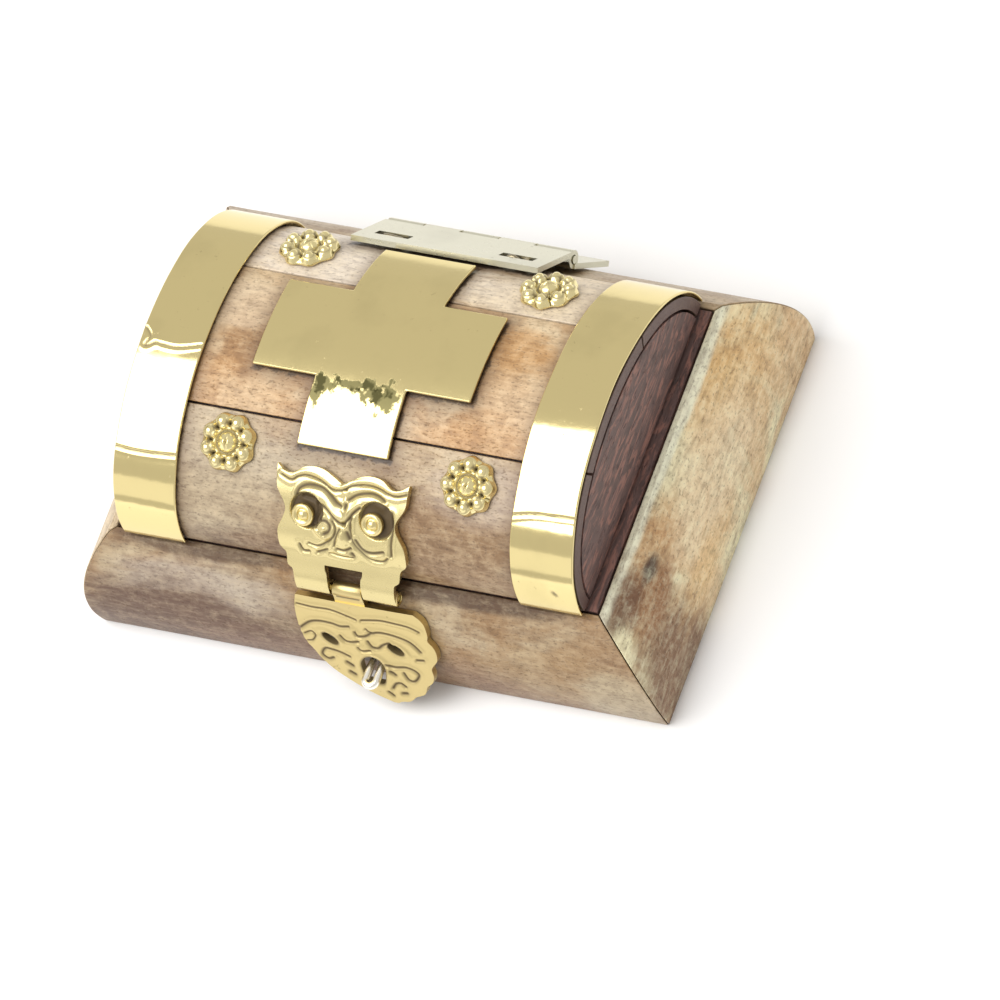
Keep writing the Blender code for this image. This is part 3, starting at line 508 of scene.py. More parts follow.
def section_run(outline, start, end, cuts, shift=None):
    """A closed outline in (out, up), run along X. shift(x, out, up) may move each point."""
    bm = bmesh.new()
    rings = []
    for step in range(cuts + 1):
        along = start + (end - start) * step / cuts
        places = [shift(along, a, b) if shift else (along, a, b) for a, b in outline]
        rings.append([bm.verts.new(place) for place in places])
    count = len(outline)
    for near, far in zip(rings, rings[1:]):
        for step in range(count):
            after = (step + 1) % count
            bm.faces.new((near[step], near[after], far[after], far[step]))
    bm.faces.new(rings[0])
    bm.faces.new(rings[-1])
    return bm


def wandering(x, y, z, scale, size, seed):
    """A slow unevenness such as handwork leaves."""
    return noise.noise(Vector((x * scale + seed, y * scale, z * scale))) * size


def moulding_outline():
    bulge = MOULDING_REACH - LID_HALF_DEPTH
    widest = math.sqrt(MOULDING_RADIUS**2 - (MOULDING_RADIUS - bulge) ** 2)
    places = [(-MOULDING_TOP, 0.0), (-MOULDING_TOP, BASE_HEIGHT)]
    steps = 28
    for step in range(steps + 1):
        height = BASE_HEIGHT * (1 - step / steps)
        from_widest = BASE_HEIGHT - widest - height
        out = bulge - MOULDING_RADIUS + math.sqrt(MOULDING_RADIUS**2 - from_widest**2)
        places.append((out, height))
    return places


def moulding_mesh(half_length, half_depth, turns, seed):
    """A mitred moulding, a little uneven along its length."""
    turn = Matrix.Rotation(turns * math.pi / 2, 4, "Z")
    mitre_gap = GAP * 0.3
    foot = 0.0002
    cuts = 56

    def shift(along, out, up):
        x = along * (half_length + out - mitre_gap)
        outer = out > -MOULDING_TOP / 2 and up > foot
        uneven = wandering(x, out, up, 60, 0.00010, seed) if outer else 0
        return turn @ Vector((x, -half_depth - out - uneven, up))

    return mesh_from(section_run(moulding_outline(), -1, 1, cuts, shift), "moulding")


class INCENSE_OT_mouldings(bpy.types.Operator):
    """The four mitred mouldings of bone round the tray"""

    bl_idname = "incense.mouldings"
    bl_label = "Bone mouldings"

    def execute(self, context):
        half_length = END_INNER + MOULDING_TOP
        half_depth = LID_HALF_DEPTH
        white = (0.50, 0.40, 0.28)
        honey = (0.31, 0.185, 0.065)
        front_patches = (
            ((-22, -26, 11), 7.5, (0.6, 1, 1.6), (0.40, 0.34, 0.28), 0.75),
            ((-24, -26.5, 3.5), 7, (0.30, 0.8, 0.9), (0.085, 0.032, 0.012), 0.95),
            ((4, -25, 2), 5.5, (0.16, 1, 1), (0.17, 0.08, 0.035), 0.65),
            ((26, -26, 8), 6, (0.6, 1, 1), honey, 0.45),
            ((34, -27, 5), 6, (1, 1, 1), (0.42, 0.35, 0.23), 0.7),
            ((12, -21.7, 16), 1.6, (0.1, 1, 1), (0.05, 0.024, 0.012), 0.85),
            ((-22, -21.7, 16), 1.4, (0.12, 1, 1), (0.06, 0.03, 0.015), 0.8),
            # Painted shade on the moulding behind the hasp's flap, seen through its mouth and eye slots.
            ((1.5, -27, 8.5), 5, (0.75, 1, 0.8), (0.035, 0.02, 0.013), 0.85),
        )
        end_patches = (
            ((37.5, 16, 13), 6, (1.2, 0.8, 1), honey, 0.45),
            ((35.5, 10, 14), 3.5, (1.2, 0.5, 1), honey, 0.60),
            ((35, -12, 15), 5, (1.4, 0.6, 1), (0.20, 0.10, 0.035), 0.75),
            ((37.5, 3, 10), 7, (1, 0.6, 1.2), (0.35, 0.28, 0.18), 0.6),
            ((38.5, -20, 4), 7.5, (1, 0.9, 0.9), (0.075, 0.030, 0.009), 0.9),
            ((36.5, -16, 13), 4, (1, 0.8, 1), (0.12, 0.052, 0.016), 0.85),
            ((36.2, -12.5, 14), 1.3, (1, 0.5, 1), (0.016, 0.008, 0.005), 0.9),
            ((38.5, 14.5, 11), 0.9, (1, 0.4, 1), (0.03, 0.016, 0.008), 0.85),
            ((34.2, -18.5, 15.5), 3, (1, 0.6, 1), (0.06, 0.026, 0.012), 0.85),
            # Painted highlight: a pale line along the top edge of the end moulding.
            ((33.3, 4, 16), 1.1, (1, 0.04, 1), white, 0.85),
            ((40.5, -6, 6), 3, (1, 0.25, 1), (0.34, 0.22, 0.09), 0.6),
        )
        sides = (
            ("front", (half_length, half_depth), 0, "X", 0.45, 0.9, 1.3, front_patches, 1.05),
            ("right", (half_depth, half_length), 1, "Y", 1.0, 0.8, 6.1, end_patches, 2.35),
            ("back", (half_length, half_depth), 2, "X", 0.55, 0.4, 11.7, (), 1.2),
            ("left", (half_depth, half_length), 3, "Y", 0.8, 0.5, 17.9, (), 1.5),
        )
        for side, (length, depth), turns, along, pale, warmth, seed, patches, tone in sides:
            finish = bone_finish(f"bone moulding {side}", along, pale, warmth, seed, patches, tone=tone)
            mesh = moulding_mesh(length, depth, turns, seed)
            node = f"moulding_{side}"
            add_piece(f"{node}_fine", mesh, finish, "base", "stained_bone", (node,), sizes().arris)
        return {"FINISHED"}


def arch_outline(first, last, outer, inner, steps):
    angles = [first + (last - first) * step / steps for step in range(steps + 1)]
    outside = [vault_point(angle, outer) for angle in angles]
    return outside + [vault_point(angle, inner) for angle in reversed(angles)]


class INCENSE_OT_bone_plates(bpy.types.Operator):
    """The three plates of bone on the lid"""

    bl_idname = "incense.bone_plates"
    bl_label = "Bone plates"

    def execute(self, context):
        edge = math.pi / 2
        front = math.asin(FRONT_SEAM_Y / PLATE_HALF_DEPTH)
        back = math.asin(BACK_SEAM_Y / PLATE_HALF_DEPTH)
        slack = GAP / 2 / LID_HALF_DEPTH
        honey = (0.30, 0.155, 0.05)
        grey = (0.31, 0.255, 0.175)
        umber = (0.16, 0.085, 0.035)
        front_patches = (
            ((-16, -17, 24), 11, (0.8, 1, 1), grey, 0.75),
            ((12, -18.5, 21), 8, (0.5, 1, 1), umber, 0.80),
            ((18, -12.5, 26.5), 4, (0.6, 1, 1), (0.34, 0.27, 0.21), 0.7),
            ((-10, -20.5, 17.5), 3, (0.2, 1, 1), (0.09, 0.045, 0.02), 0.8),
            ((-6, -19.5, 18), 6, (0.6, 1, 1), umber, 0.5),
        )
        top_patches = (
            ((16.5, 5.5, 29), 3.5, (0.7, 1, 1), honey, 0.8),
            ((14, -6, 29), 3, (1, 1, 1), honey, 0.8),
            ((-17.5, 1, 29), 3.5, (1, 0.6, 1), (0.21, 0.105, 0.035), 0.85),
            ((20.5, -2, 29), 4, (0.6, 1, 1), (0.38, 0.26, 0.15), 0.7),
            ((15, -7, 28), 3.8, (0.5, 1, 1), honey, 0.6),
            ((-18, -6, 28), 4, (0.5, 1, 1), honey, 0.55),
            ((-19, 5, 28), 3.8, (0.6, 1, 1), (0.40, 0.31, 0.21), 0.7),
        )
        back_patches = (
            ((-8, 16, 24), 9, (0.5, 1, 1), (0.47, 0.42, 0.36), 0.8),
            ((18, 14, 25), 6, (0.5, 1, 1), (0.42, 0.36, 0.28), 0.7),
        )
        arm = sizes().cross_arm / 2
        curved_arm = arm * 0.94
        thickness = 0.0004
        beyond = 0.005
        middle = (CROSS_LOW + CROSS_HIGH) / 2
        # Boxes of the brass on the lid, in metres; the bone finish paints shade round each.
        mounts = (
            (middle.x - arm, middle.x + arm, CROSS_LOW.y, CROSS_HIGH.y),
            (CROSS_LOW.x, CROSS_HIGH.x, middle.y - curved_arm, middle.y + curved_arm),
            (LEAF_LOW.x, LEAF_HIGH.x, LEAF_LOW.y, LEAF_HIGH.y),
            (BAND_LOW.x, BAND_HIGH.x - thickness, BAND_LOW.y - beyond, BAND_HIGH.y + beyond),
            (-BAND_HIGH.x + thickness, LID_HALF_LENGTH, BAND_LOW.y - beyond, BAND_HIGH.y + beyond),
        )
        plates = (
            ("front", -edge, front - slack, 40, "stained_bone", 0.45, 0.3, 23.1, front_patches, 1.3),
            ("top", front + slack, back - slack, 30, "stained_bone", 0.75, 1.0, 31.9, top_patches, 1.6),
            ("back", back + slack, edge, 30, "pale_bone", 1.2, 0.2, 41.3, back_patches, 1.7),
        )
        for side, first, last, steps, slot, pale, warmth, seed, patches, tone in plates:
            name = f"bone_plate_{side}"
            outline = arch_outline(first, last, BONE_DROP, BONE_DROP + BONE, steps)
            mesh = mesh_from(section_run(outline, -LID_HALF_LENGTH, LID_HALF_LENGTH, 24), name)
            finish = bone_finish(name.replace("_", " "), "X", pale, warmth, seed, patches, mounts, tone)
            add_piece(f"{name}_fine", mesh, finish, "lid", slot, (name,), sizes().arris * 0.6)
        return {"FINISHED"}


class INCENSE_OT_wood(bpy.types.Operator):
    """The wooden tray and the wooden lid"""

    bl_idname = "incense.wood"
    bl_label = "Wood"

    def execute(self, context):
        finish = wood_finish()
        for name in ("tray", "lid_shell"):
            finish_node(name, finish)
        return {"FINISHED"}


def sheet_height(x, y, size, seed):
    """Shallow dents in sheet brass, at each point of two arrays in metres."""
    places = [Vector((a * 90 + seed, b * 130, seed)) for a, b in zip(x, y)]
    return np.array([noise.noise(place) for place in places]) * size


class INCENSE_OT_bands(bpy.types.Operator):
    """The two brass bands over the ends of the lid"""

    bl_idname = "incense.bands"
    bl_label = "Bands"

    def execute(self, context):
        finish = brass_finish("band brass", 0.06, True)
        thickness = sizes().band_thickness
        left_lines = (
            (0.11, ((-4.1, 15.5), (-1.5, 15.7), (1.5, 15.6), (4.1, 15.4))),
            (0.17, ((-3.9, 0.6), (-3.0, 1.6), (-3.3, 2.9), (-2.2, 2.4))),
            (0.08, ((-2.2, 2.2), (0.8, 2.4), (3.9, 1.6))),
        )
        right_lines = (
            (0.11, ((-4.1, 15.1), (-1.6, 14.6), (1.2, 14.4), (4.1, 14.3))),
            (0.24, ((1.3, 24.2), (1.6, 24.5))),
        )
        for name, seed, lines in (("band_left", 3.0, left_lines), ("band_right", 8.0, right_lines)):
            low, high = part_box(name)
            half = (high.x - low.x) / 2
            middle = (high.x + low.x) / 2

            def creases(x, y, lines=lines):
                return engraved(x * 4.2, y * LID_ARC * 1000, lines, 0.07)

            def engraving(x, y):
                return creases(x, y)[1] * 0.8

            def place(x, y, layer, half=half, middle=middle, seed=seed, creases=creases):
                down = y * LID_ARC
                wave = sheet_height(np.zeros_like(x), down, 0.00012, seed)
                across = middle + x * half + wave * np.sign(x) * np.abs(x) ** 6
                dent = sheet_height(x * half, down, 0.00003, seed + 20) + creases(x, y)[0] * 0.001
                return on_vault(across, down, BONE_DROP - thickness * (1 - layer) + dent * layer)

            mesh = shaped(flat_plate(44, 360), place, engraving)
            add_piece(f"{name}_fine", mesh, finish, "lid", "brass", (name,), sizes().brass_edge)
        return {"FINISHED"}


class INCENSE_OT_cross(bpy.types.Operator):
    """The cross of sheet brass over the crown"""

    bl_idname = "incense.cross"
    bl_label = "Cross"

    def execute(self, context):
        half = (CROSS_HIGH.x - CROSS_LOW.x) / 2
        middle = (CROSS_HIGH.x + CROSS_LOW.x) / 2
        arm = sizes().cross_arm / 2 / half
        front = np.interp(math.asin(-CROSS_LOW.y / LID_HALF_DEPTH), ARC_ANGLES, ARCS)
        back = np.interp(math.asin(CROSS_HIGH.y / LID_HALF_DEPTH), ARC_ANGLES, ARCS)
        centre = (front - back) / 2
        cells = 72
        arm = round(arm * cells / 2) * 2 / cells

        def keep(x, y):
            return abs(x) < arm or abs(y) < arm

        def place(x, y, layer):
            down = centre + y * (front + back) / 2
            dents = sheet_height(x * half, down, 0.00003, 5.0)
            lift = GAP + layer * sizes().cross_thickness + dents * layer
            return on_vault(middle + x * half, down, lift)

        mesh = shaped(flat_plate(cells, cells, keep), place)
        stains = (
            ((-6.2, -4.2, 30), 1, (1, 0.42, 1)),
            ((-5.2, -3.6, 30), 1.3, (0.7, 0.9, 1)),
            ((1, -3.6, 30), 1.3, (0.5, 0.8, 1)),
            ((3, -4, 30), 1.4, (0.6, 0.55, 1)),
            ((-1.2, -3.1, 30), 0.7, (0.2, 1, 1)),
        )
        finish = brass_finish("cross brass", 0.10, stains=stains)
        add_piece("cross_fine", mesh, finish, "lid", "brass", ("cross",), sizes().brass_edge)
        return {"FINISHED"}


PETALS = 8


def rosette_edge(turn):
    """The scalloped edge at an angle, as a share of the radius."""
    return 0.95 + 0.05 * np.cos(PETALS * turn - math.pi)


def rosette_relief(x, y):
    """Round petals with a bead in each, pits between them, and a boss with a slot.
    x and y are shares of the radius. Gives the height and the tarnish."""
    radius = np.hypot(x, y)
    turn = np.arctan2(y, x)
    rise = 0.85 * hill(radius, 0.26)
    groove = hill(radius - 0.36, 0.05) + 0.8 * hill(x - 0.05, 0.035) * hill(y, 0.14)
    tarnish = 0.8 * groove
    for petal in range(PETALS):
        angle = 2 * math.pi * (petal + 0.5) / PETALS
        away = np.hypot(x - 0.70 * math.cos(angle), y - 0.70 * math.sin(angle))
        rise += 0.70 * np.sqrt(np.clip(1 - (away / 0.27) ** 2, 0, 1))
        groove += 0.35 * hill(away - 0.15, 0.04)
        between = 2 * math.pi * petal / PETALS
        pit = np.hypot(x - 0.60 * math.cos(between), y - 0.60 * math.sin(between))
        groove += 1.2 * hill(pit, 0.10)
        tarnish += 1.1 * hill(pit, 0.085) + 0.55 * hill(away - 0.17, 0.03) * (away < 0.25)
    rim = np.clip((1 - radius / rosette_edge(turn)) / 0.10, 0, 1)
    return (rise - 0.45 * groove) * np.sqrt(rim), tarnish


class INCENSE_OT_rosettes(bpy.types.Operator):
    """The four stamped rosette studs"""

    bl_idname = "incense.rosettes"
    bl_label = "Rosettes"

    def execute(self, context):
        finish = brass_finish("rosette brass", 0.15, True, (0.88, 0.76, 0.40))
        radius = sizes().rosette_radius
        edge = 0.0006
        dome = 0.0010
        for step, corner in enumerate(("front_left", "front_right", "back_left", "back_right")):
            name = f"rosette_{corner}"
            low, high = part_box(name)
            centre = (low + high) / 2
            angle = math.asin(centre.y / LID_HALF_DEPTH)
            middle = -np.interp(abs(angle), ARC_ANGLES, ARCS) * np.sign(angle)
            spin = 0.35 * step

            def place(x, y, layer, centre=centre, middle=middle, spin=spin):
                turn = math.pi * (1 + x)
                share = (1 + y) / 2
                reach = radius * rosette_edge(turn)
                u = share * np.cos(turn) * reach / radius
                v = share * np.sin(turn) * reach / radius
                rise, _ = rosette_relief(u, v)
                lift = GAP + layer * (edge * np.sqrt(np.clip(1.02 - share**6, 0, 1)) + dome * rise)
                across = centre.x + radius * (u * math.cos(spin) - v * math.sin(spin))
                down = middle + radius * (u * math.sin(spin) + v * math.cos(spin))
                return on_vault(across, down, lift)

            def engraving(x, y):
                turn = math.pi * (1 + x)
                share = (1 + y) / 2 * rosette_edge(turn)
                return rosette_relief(share * np.cos(turn), share * np.sin(turn))[1]

            mesh = shaped(flat_plate(128, 34), place, engraving)
            add_piece(f"{name}_fine", mesh, finish, "lid", "brass", (name,), sharp=80)
        return {"FINISHED"}


# The owl, in millimetres: across from its middle, and down from the crown of the lid
OWL_TOP = ((0, 15.1), (1.3, 14.4), (2.6, 13.8), (3.9, 13.6), (5.2, 13.8), (6.2, 14.4), (6.9, 14.75),
           (7.7, 14.7), (8.4, 14.35), (9.0, 13.9))
OWL_SIDE = ((14.0, 9.0), (15.4, 8.9), (16.8, 8.7), (18.2, 7.8), (19.2, 7.5), (20.4, 7.9), (21.8, 8.6),
            (23.6, 8.7), (24.3, 8.5), (24.9, 7.8), (26.0, 7.6), (26.5, 6.9), (28.4, 6.8))
OWL_EYES = ((-4.95, 19.5), (4.4, 19.2))
OWL_LEGS_END = 28.6
OWL_SLOT = 2.3
OWL_SLOT_TOP = 25.5
OWL_LEG_WIDTH = 6.85
OWL_START = 14.0
OWL_BEND_START = 24.0
OWL_WIDTH = 0.0090

# Engraved lines, each a half width and its points in millimetres
OWL_STROKES = (
    # rim, left
    (0.12, ((-8.2, 15.2), (-6.9, 15.6), (-6.0, 15.1), (-5.0, 14.8),
            (-3.7, 14.9), (-2.5, 15.3), (-1.3, 15.9), (-0.2, 15.9), (0.6, 15.6))),
    # rim, right
    (0.12, ((0.6, 15.6), (1.4, 15.1), (2.6, 14.8), (4.0, 14.7),
            (5.2, 14.9), (6.4, 15.3), (7.5, 15.4), (8.8, 15.0))),
    # left brow
    (0.24, ((-6.0, 17.2), (-5.6, 16.4), (-4.7, 15.9), (-3.6, 15.8),
            (-2.4, 16.0), (-1.3, 16.7), (-0.5, 17.4), (0.1, 17.7))),
    # right brow
    (0.20, ((1.1, 16.8), (1.9, 16.2), (2.9, 15.8), (4.2, 15.6), (5.2, 15.8), (5.9, 16.2))),
    # left lid
    (0.20, ((-5.1, 17.3), (-4.0, 17.5), (-2.9, 17.9),
            (-1.8, 18.4), (-0.9, 19.2), (-0.2, 19.7), (0.6, 19.8))),
    # right lid
    (0.20, ((0.6, 19.8), (1.3, 19.0), (1.9, 18.2), (2.7, 17.5))),
    # mark between the brows
    (0.22, ((0.8, 17.4), (0.7, 17.9))),
    # right eye, under
    (0.24, ((2.1, 21.6), (2.9, 22.6), (4.0, 23.0), (5.7, 22.6))),
    # right eye, outer ring
    (0.14, ((1.5, 19.0), (1.4, 20.4), (1.8, 22.0), (2.8, 23.1), (4.0, 23.9), (5.5, 23.9), (6.3, 23.3))),
    # right temple
    (0.18, ((7.0, 17.5), (7.2, 19.4), (6.9, 21.3), (6.8, 22.9))),
    # left eye, bridge
    (0.18, ((-3.2, 17.7), (-3.1, 18.8), (-3.4, 19.9), (-3.2, 20.8))),
    # scroll by the left eye
    (0.24, ((-2.7, 19.9), (-1.9, 19.8), (-1.3, 20.3), (-1.5, 21.0), (-2.2, 21.5))),
    # scroll's ring
    (0.14, ((-4.5, 23.1), (-3.3, 23.3), (-2.0, 22.6), (-1.0, 21.7), (-0.6, 20.6), (-1.0, 19.7))),
    # left of the beak
    (0.14, ((0.0, 20.5), (-0.6, 21.6), (-1.0, 22.9))),
    # right nostril
    (0.30, ((1.0, 20.8), (1.3, 21.5))),
    # under the beak
    (0.20, ((-0.6, 23.2), (0.3, 23.3), (1.3, 22.8))),
    # left pouch
    (0.18, ((-5.8, 23.5), (-5.4, 24.3), (-4.6, 24.3))),
    # left pouch, inner
    (0.18, ((-3.4, 24.2), (-2.0, 23.5))),
    # right pouch mark
    (0.28, ((1.4, 23.5), (1.6, 23.8))),
    # fringe
    (0.09, ((-1.8, 24.0), (0.2, 24.2), (1.5, 24.1))),
)


def engraved(x, y, strokes, depth):
    """Height lost along the strokes with a soft swelling beside them, and their tarnish."""
    rise = np.zeros_like(x)
    tarnish = np.zeros_like(x)
    for width, points in strokes:
        distance = near_line(x, y, smooth_path(points))
        rise += depth * (0.45 * hill(distance - 0.45, 0.22) - hill(distance, width))
        tarnish = np.maximum(tarnish, hill(distance, width * 1.05))
    return rise, tarnish


def owl_relief(x, y):
    """Height in millimetres over the owl's plate, and its tarnish: brows that meet over the
    beak, a sunk socket above and beside each nail filled with painted shade, pouches below, and plain legs."""
    rise, tarnish = engraved(x, y, OWL_STROKES, 0.18)
    brow = smooth_path(((-5.2, 16.7), (-3.6, 16.7), (-2.0, 17.3), (-0.6, 18.6), (0.5, 18.9), (1.6, 17.7),
                        (3.0, 16.7), (4.4, 16.6), (5.6, 17.0)))
    rise += 0.34 * hill(near_line(x, y, brow), 0.55)
    rim = smooth_path(((-8.2, 14.8), (-6.8, 15.1), (-5.2, 14.3), (-3.8, 14.2), (-2.4, 14.7), (-0.6, 15.5),
                       (0.8, 15.2), (2.4, 14.3), (4.0, 14.1), (5.4, 14.4), (6.9, 15.0), (8.4, 14.6)))
    rise += 0.14 * hill(near_line(x, y, rim), 0.40)
    sockets = ((-4.55, 18.95, 2.05), (4.95, 18.75, 2.15))
    for across, down, reach in sockets:
        inside = 1 - np.clip((np.hypot(x - across, y - down) - reach) / 0.25, 0, 1)
        rise -= 0.55 * inside
        # Painted shade: each socket takes the dark tarnish colour all over.
        tarnish = np.maximum(tarnish, inside)
    beak = np.hypot((x - 0.25) / 0.8, (y - 21.6) / 1.3)
    rise += 0.45 * hill(beak, 0.8)
    scroll = np.hypot(x + 2.3, y - 20.8)
    rise += 0.25 * hill(scroll - 0.95, 0.35) + 0.20 * hill(scroll, 0.35)
    plain = np.clip((25.0 - y) / 0.5, 0, 1)
    return rise * plain, tarnish * plain


class INCENSE_OT_owl(bpy.types.Operator):
    """The hasp's plate, an owl's head, with its nails, knuckles and pin"""

    bl_idname = "incense.owl"
    bl_label = "Owl plate"

    def execute(self, context):
        finish = brass_finish("owl brass", 0.20, True, (0.72, 0.61, 0.31))
        top_x, top_y = np.array(smooth_path(OWL_TOP)).T
        side_y, side_x = np.array(smooth_path(OWL_SIDE)).T
        share = sizes().owl_half_width / OWL_WIDTH
        columns = 150
        rows = 120
        span = OWL_LEGS_END - OWL_START
        at_pin = -HASP_PIN.y + KNUCKLE - OWL_THICKNESS - PLATE_HALF_DEPTH

        def keep(x, y):
            down = OWL_LEGS_END - (y + 1) / 2 * span
            return not (abs(x) < OWL_SLOT / OWL_LEG_WIDTH and down > OWL_SLOT_TOP)

        def spread(x, y):
            down = OWL_LEGS_END - (y + 1) / 2 * span
            for _ in range(6):
                across = x * np.interp(down, side_y, side_x)
                top = np.interp(np.abs(across), top_x, top_y)
                start = np.clip((OWL_SLOT_TOP - OWL_START) / span, 0, 1)
                lower = (1 - y) / 2
                down = np.where(
                    lower < start,
                    top + (OWL_SLOT_TOP - top) * lower / start,
                    OWL_SLOT_TOP + (OWL_LEGS_END - OWL_SLOT_TOP) * (lower - start) / (1 - start),
                )
            return across, down

        def engraving(x, y):
            return owl_relief(*spread(x, y))[1]

        def place(x, y, layer):
            across, down = spread(x, y)
            lift = OWL_THICKNESS + owl_relief(across, down)[0] * MM
            bend = np.clip((down - OWL_BEND_START) / (OWL_LEGS_END - OWL_BEND_START), 0, 1)
            away = GAP + (at_pin - GAP) * bend**2 * (3 - 2 * bend)
            return on_vault(across * MM * share, down * MM, lift * layer + away)

        mesh = shaped(flat_plate(columns, rows, keep), place, engraving)
        left = knuckle(-OWL_KNUCKLE_OUTER, -OWL_KNUCKLE_INNER)
        right = knuckle(OWL_KNUCKLE_INNER, OWL_KNUCKLE_OUTER)
        mesh = joined(mesh, left, right)
        edge = sizes().brass_edge
        add_piece("owl_plate_fine", mesh, finish, "lid", "brass", ("owl_plate",), edge, 50)
        for hand, (across, down) in zip(("left", "right"), OWL_EYES):
            add_nail(f"owl_eye_{hand}", across * MM, down * MM, OWL_THICKNESS * 0.6)
        finish_node("hasp_pin", finish)
        return {"FINISHED"}


def knuckle(start, end):
    """A rolled knuckle round the hasp's pin, along X, with rounded rims."""
    sides = 40
    round_off = KNUCKLE * 0.14
    profile = [
        (KNUCKLE_BORE, start), (KNUCKLE - round_off, start), (KNUCKLE, start + round_off),
        (KNUCKLE, end - round_off), (KNUCKLE - round_off, end), (KNUCKLE_BORE, end),
    ]
    bm = bmesh.new()
    rings = []
    for reach, along in profile:
        ring = []
        for side in range(sides):
            angle = 2 * math.pi * side / sides
            y = HASP_PIN.y + reach * math.cos(angle)
            ring.append(bm.verts.new((along, y, HASP_PIN.z + reach * math.sin(angle))))
        rings.append(ring)
    for near, far in zip(rings, rings[1:] + rings[:1]):
        for side in range(sides):
            after = (side + 1) % sides
            bm.faces.new((near[side], near[after], far[after], far[side]))
    return mesh_from(bm, "knuckle")


def add_nail(name, across, down, plate):
    """A nail whose head has a collar, a groove and a domed middle."""
    finish = bpy.data.materials.get("nail brass") or brass_finish("nail brass", 0.18)
    profile = ((0.0, 0.95), (0.25, 0.93), (0.48, 0.80), (0.60, 0.62), (0.72, 0.56), (0.84, 0.66),
               (1.05, 0.78), (1.22, 0.76), (1.38, 0.62), (1.45, 0.38), (1.42, 0.05), (1.20, 0.0),
               (0.0, 0.0))
    sides = 48
    bm = bmesh.new()
    line = [bm.verts.new((reach * MM, 0, height * MM)) for reach, height in profile]
    for near, far in zip(line, line[1:]):
        bm.edges.new((near, far))
    bmesh.ops.spin(
        bm, geom=bm.verts[:] + bm.edges[:], axis=(0, 0, 1), cent=(0, 0, 0), dvec=(0, 0, 0),
        angle=2 * math.pi, steps=sides, use_merge=True,
    )
    bmesh.ops.remove_doubles(bm, verts=bm.verts, dist=1e-6)
    lifts = np.array([plate + GAP, plate + GAP + MM])
    foot, tip = on_vault(np.array([across] * 2), np.array([down] * 2), lifts)
    turn = Vector(tip - foot).to_track_quat("Z", "Y").to_matrix().to_4x4()
    bmesh.ops.transform(bm, matrix=Matrix.Translation(Vector(foot)) @ turn, verts=bm.verts)
    add_piece(f"{name}_fine", mesh_from(bm, name), finish, "lid", "brass", (name,), sharp=60)


# The flap, in millimetres: across from the box's middle, and down from the pin
FLAP_LEFT = ((1.7, -7.4), (3.5, -7.7), (5.3, -7.7), (6.9, -7.4), (8.4, -6.9), (9.7, -5.9), (10.8, -5.0),
             (11.9, -3.9), (12.9, -2.4), (13.8, -0.8), (14.6, 0.9), (15.2, 2.5), (15.6, 3.8))
FLAP_RIGHT = ((1.7, 8.5), (2.3, 9.3), (3.1, 9.8), (4.6, 10.0), (5.4, 9.9), (6.2, 10.5), (7.2, 10.8),
              (8.2, 10.7), (9.0, 10.1), (9.6, 9.8), (10.6, 9.9), (11.6, 9.6), (12.3, 8.8), (12.8, 8.6),
              (13.6, 8.2), (14.2, 7.0), (14.6, 6.6), (15.1, 5.9), (15.3, 4.9), (15.6, 4.4))
FLAP_SHOULDER = 1.7
FLAP_TIP = 15.6
FLAP_WIDTH = 0.0092
MOUTH = (1.85, 9.1, 13.0, 1.65)
EYE_SLOTS = ((-3.45, 7.4), (5.4, 7.35))
EYE_SLOT = (1.15, 0.58, math.radians(30))

# Engraved lines, each a half width and its points in millimetres
FLAP_STROKES = (
    # forehead line, left
    (0.16, ((-7.4, 3.1), (-5.3, 3.2), (-2.9, 3.1), (-0.9, 3.5), (0.6, 3.9))),
    # forehead line, right
    (0.17, ((1.3, 3.8), (3.8, 3.4), (5.9, 3.5), (7.6, 3.7), (8.9, 4.2))),
    # left brow
    (0.20, ((-7.4, 6.6), (-6.0, 5.5), (-4.6, 5.1), (-2.9, 5.1), (-1.8, 5.3), (-0.6, 5.1))),
    # right brow
    (0.20, ((0.1, 5.8), (0.5, 6.3), (1.5, 6.1), (2.4, 5.5),
            (3.8, 5.2), (5.7, 5.4), (7.5, 6.0), (8.7, 7.2))),
    # wrinkle over the nose
    (0.16, ((1.7, 5.0), (2.3, 5.4))),
    # left of the nose
    (0.18, ((-2.0, 6.7), (-1.4, 7.3), (-0.6, 7.4), (0.4, 7.1))),
    # right of the nose
    (0.20, ((1.7, 6.8), (2.2, 7.5), (3.0, 7.6), (3.8, 6.9), (4.7, 6.5))),
    # bridge of the nose
    (0.16, ((0.2, 8.0), (0.7, 8.4), (1.9, 8.1))),
    # left cheek
    (0.20, ((-1.2, 9.7), (-2.3, 9.3), (-3.5, 9.1), (-4.4, 9.1),
            (-4.9, 9.7), (-4.9, 10.2), (-4.2, 10.6), (-3.5, 10.3))),
    # left whisker
    (0.28, ((-1.7, 10.6), (-1.0, 11.0))),
    # lower left whisker
    (0.28, ((-1.5, 12.0), (-0.9, 12.3))),
    # right cheek
    (0.20, ((3.7, 9.9), (4.8, 10.1), (6.3, 9.9), (7.4, 10.2),
            (7.9, 10.8), (7.2, 11.8), (6.4, 11.7), (5.9, 10.8))),
    # right whisker
    (0.24, ((4.1, 10.8), (4.7, 11.3))),
    # lower right curl
    (0.20, ((4.0, 13.4), (4.5, 12.7), (5.2, 12.5), (5.8, 12.9))),
    # chin mark
    (0.26, ((5.2, 14.0), (5.8, 13.9))),
    # left chin mark
    (0.20, ((3.3, 14.1), (3.9, 14.6))),
    # right temple mark
    (0.20, ((8.0, 8.5), (8.9, 8.4))),
    # left temple curl
    (0.13, ((-7.0, 7.4), (-6.0, 6.9), (-5.5, 7.4), (-6.0, 8.2), (-6.7, 8.4))),
)


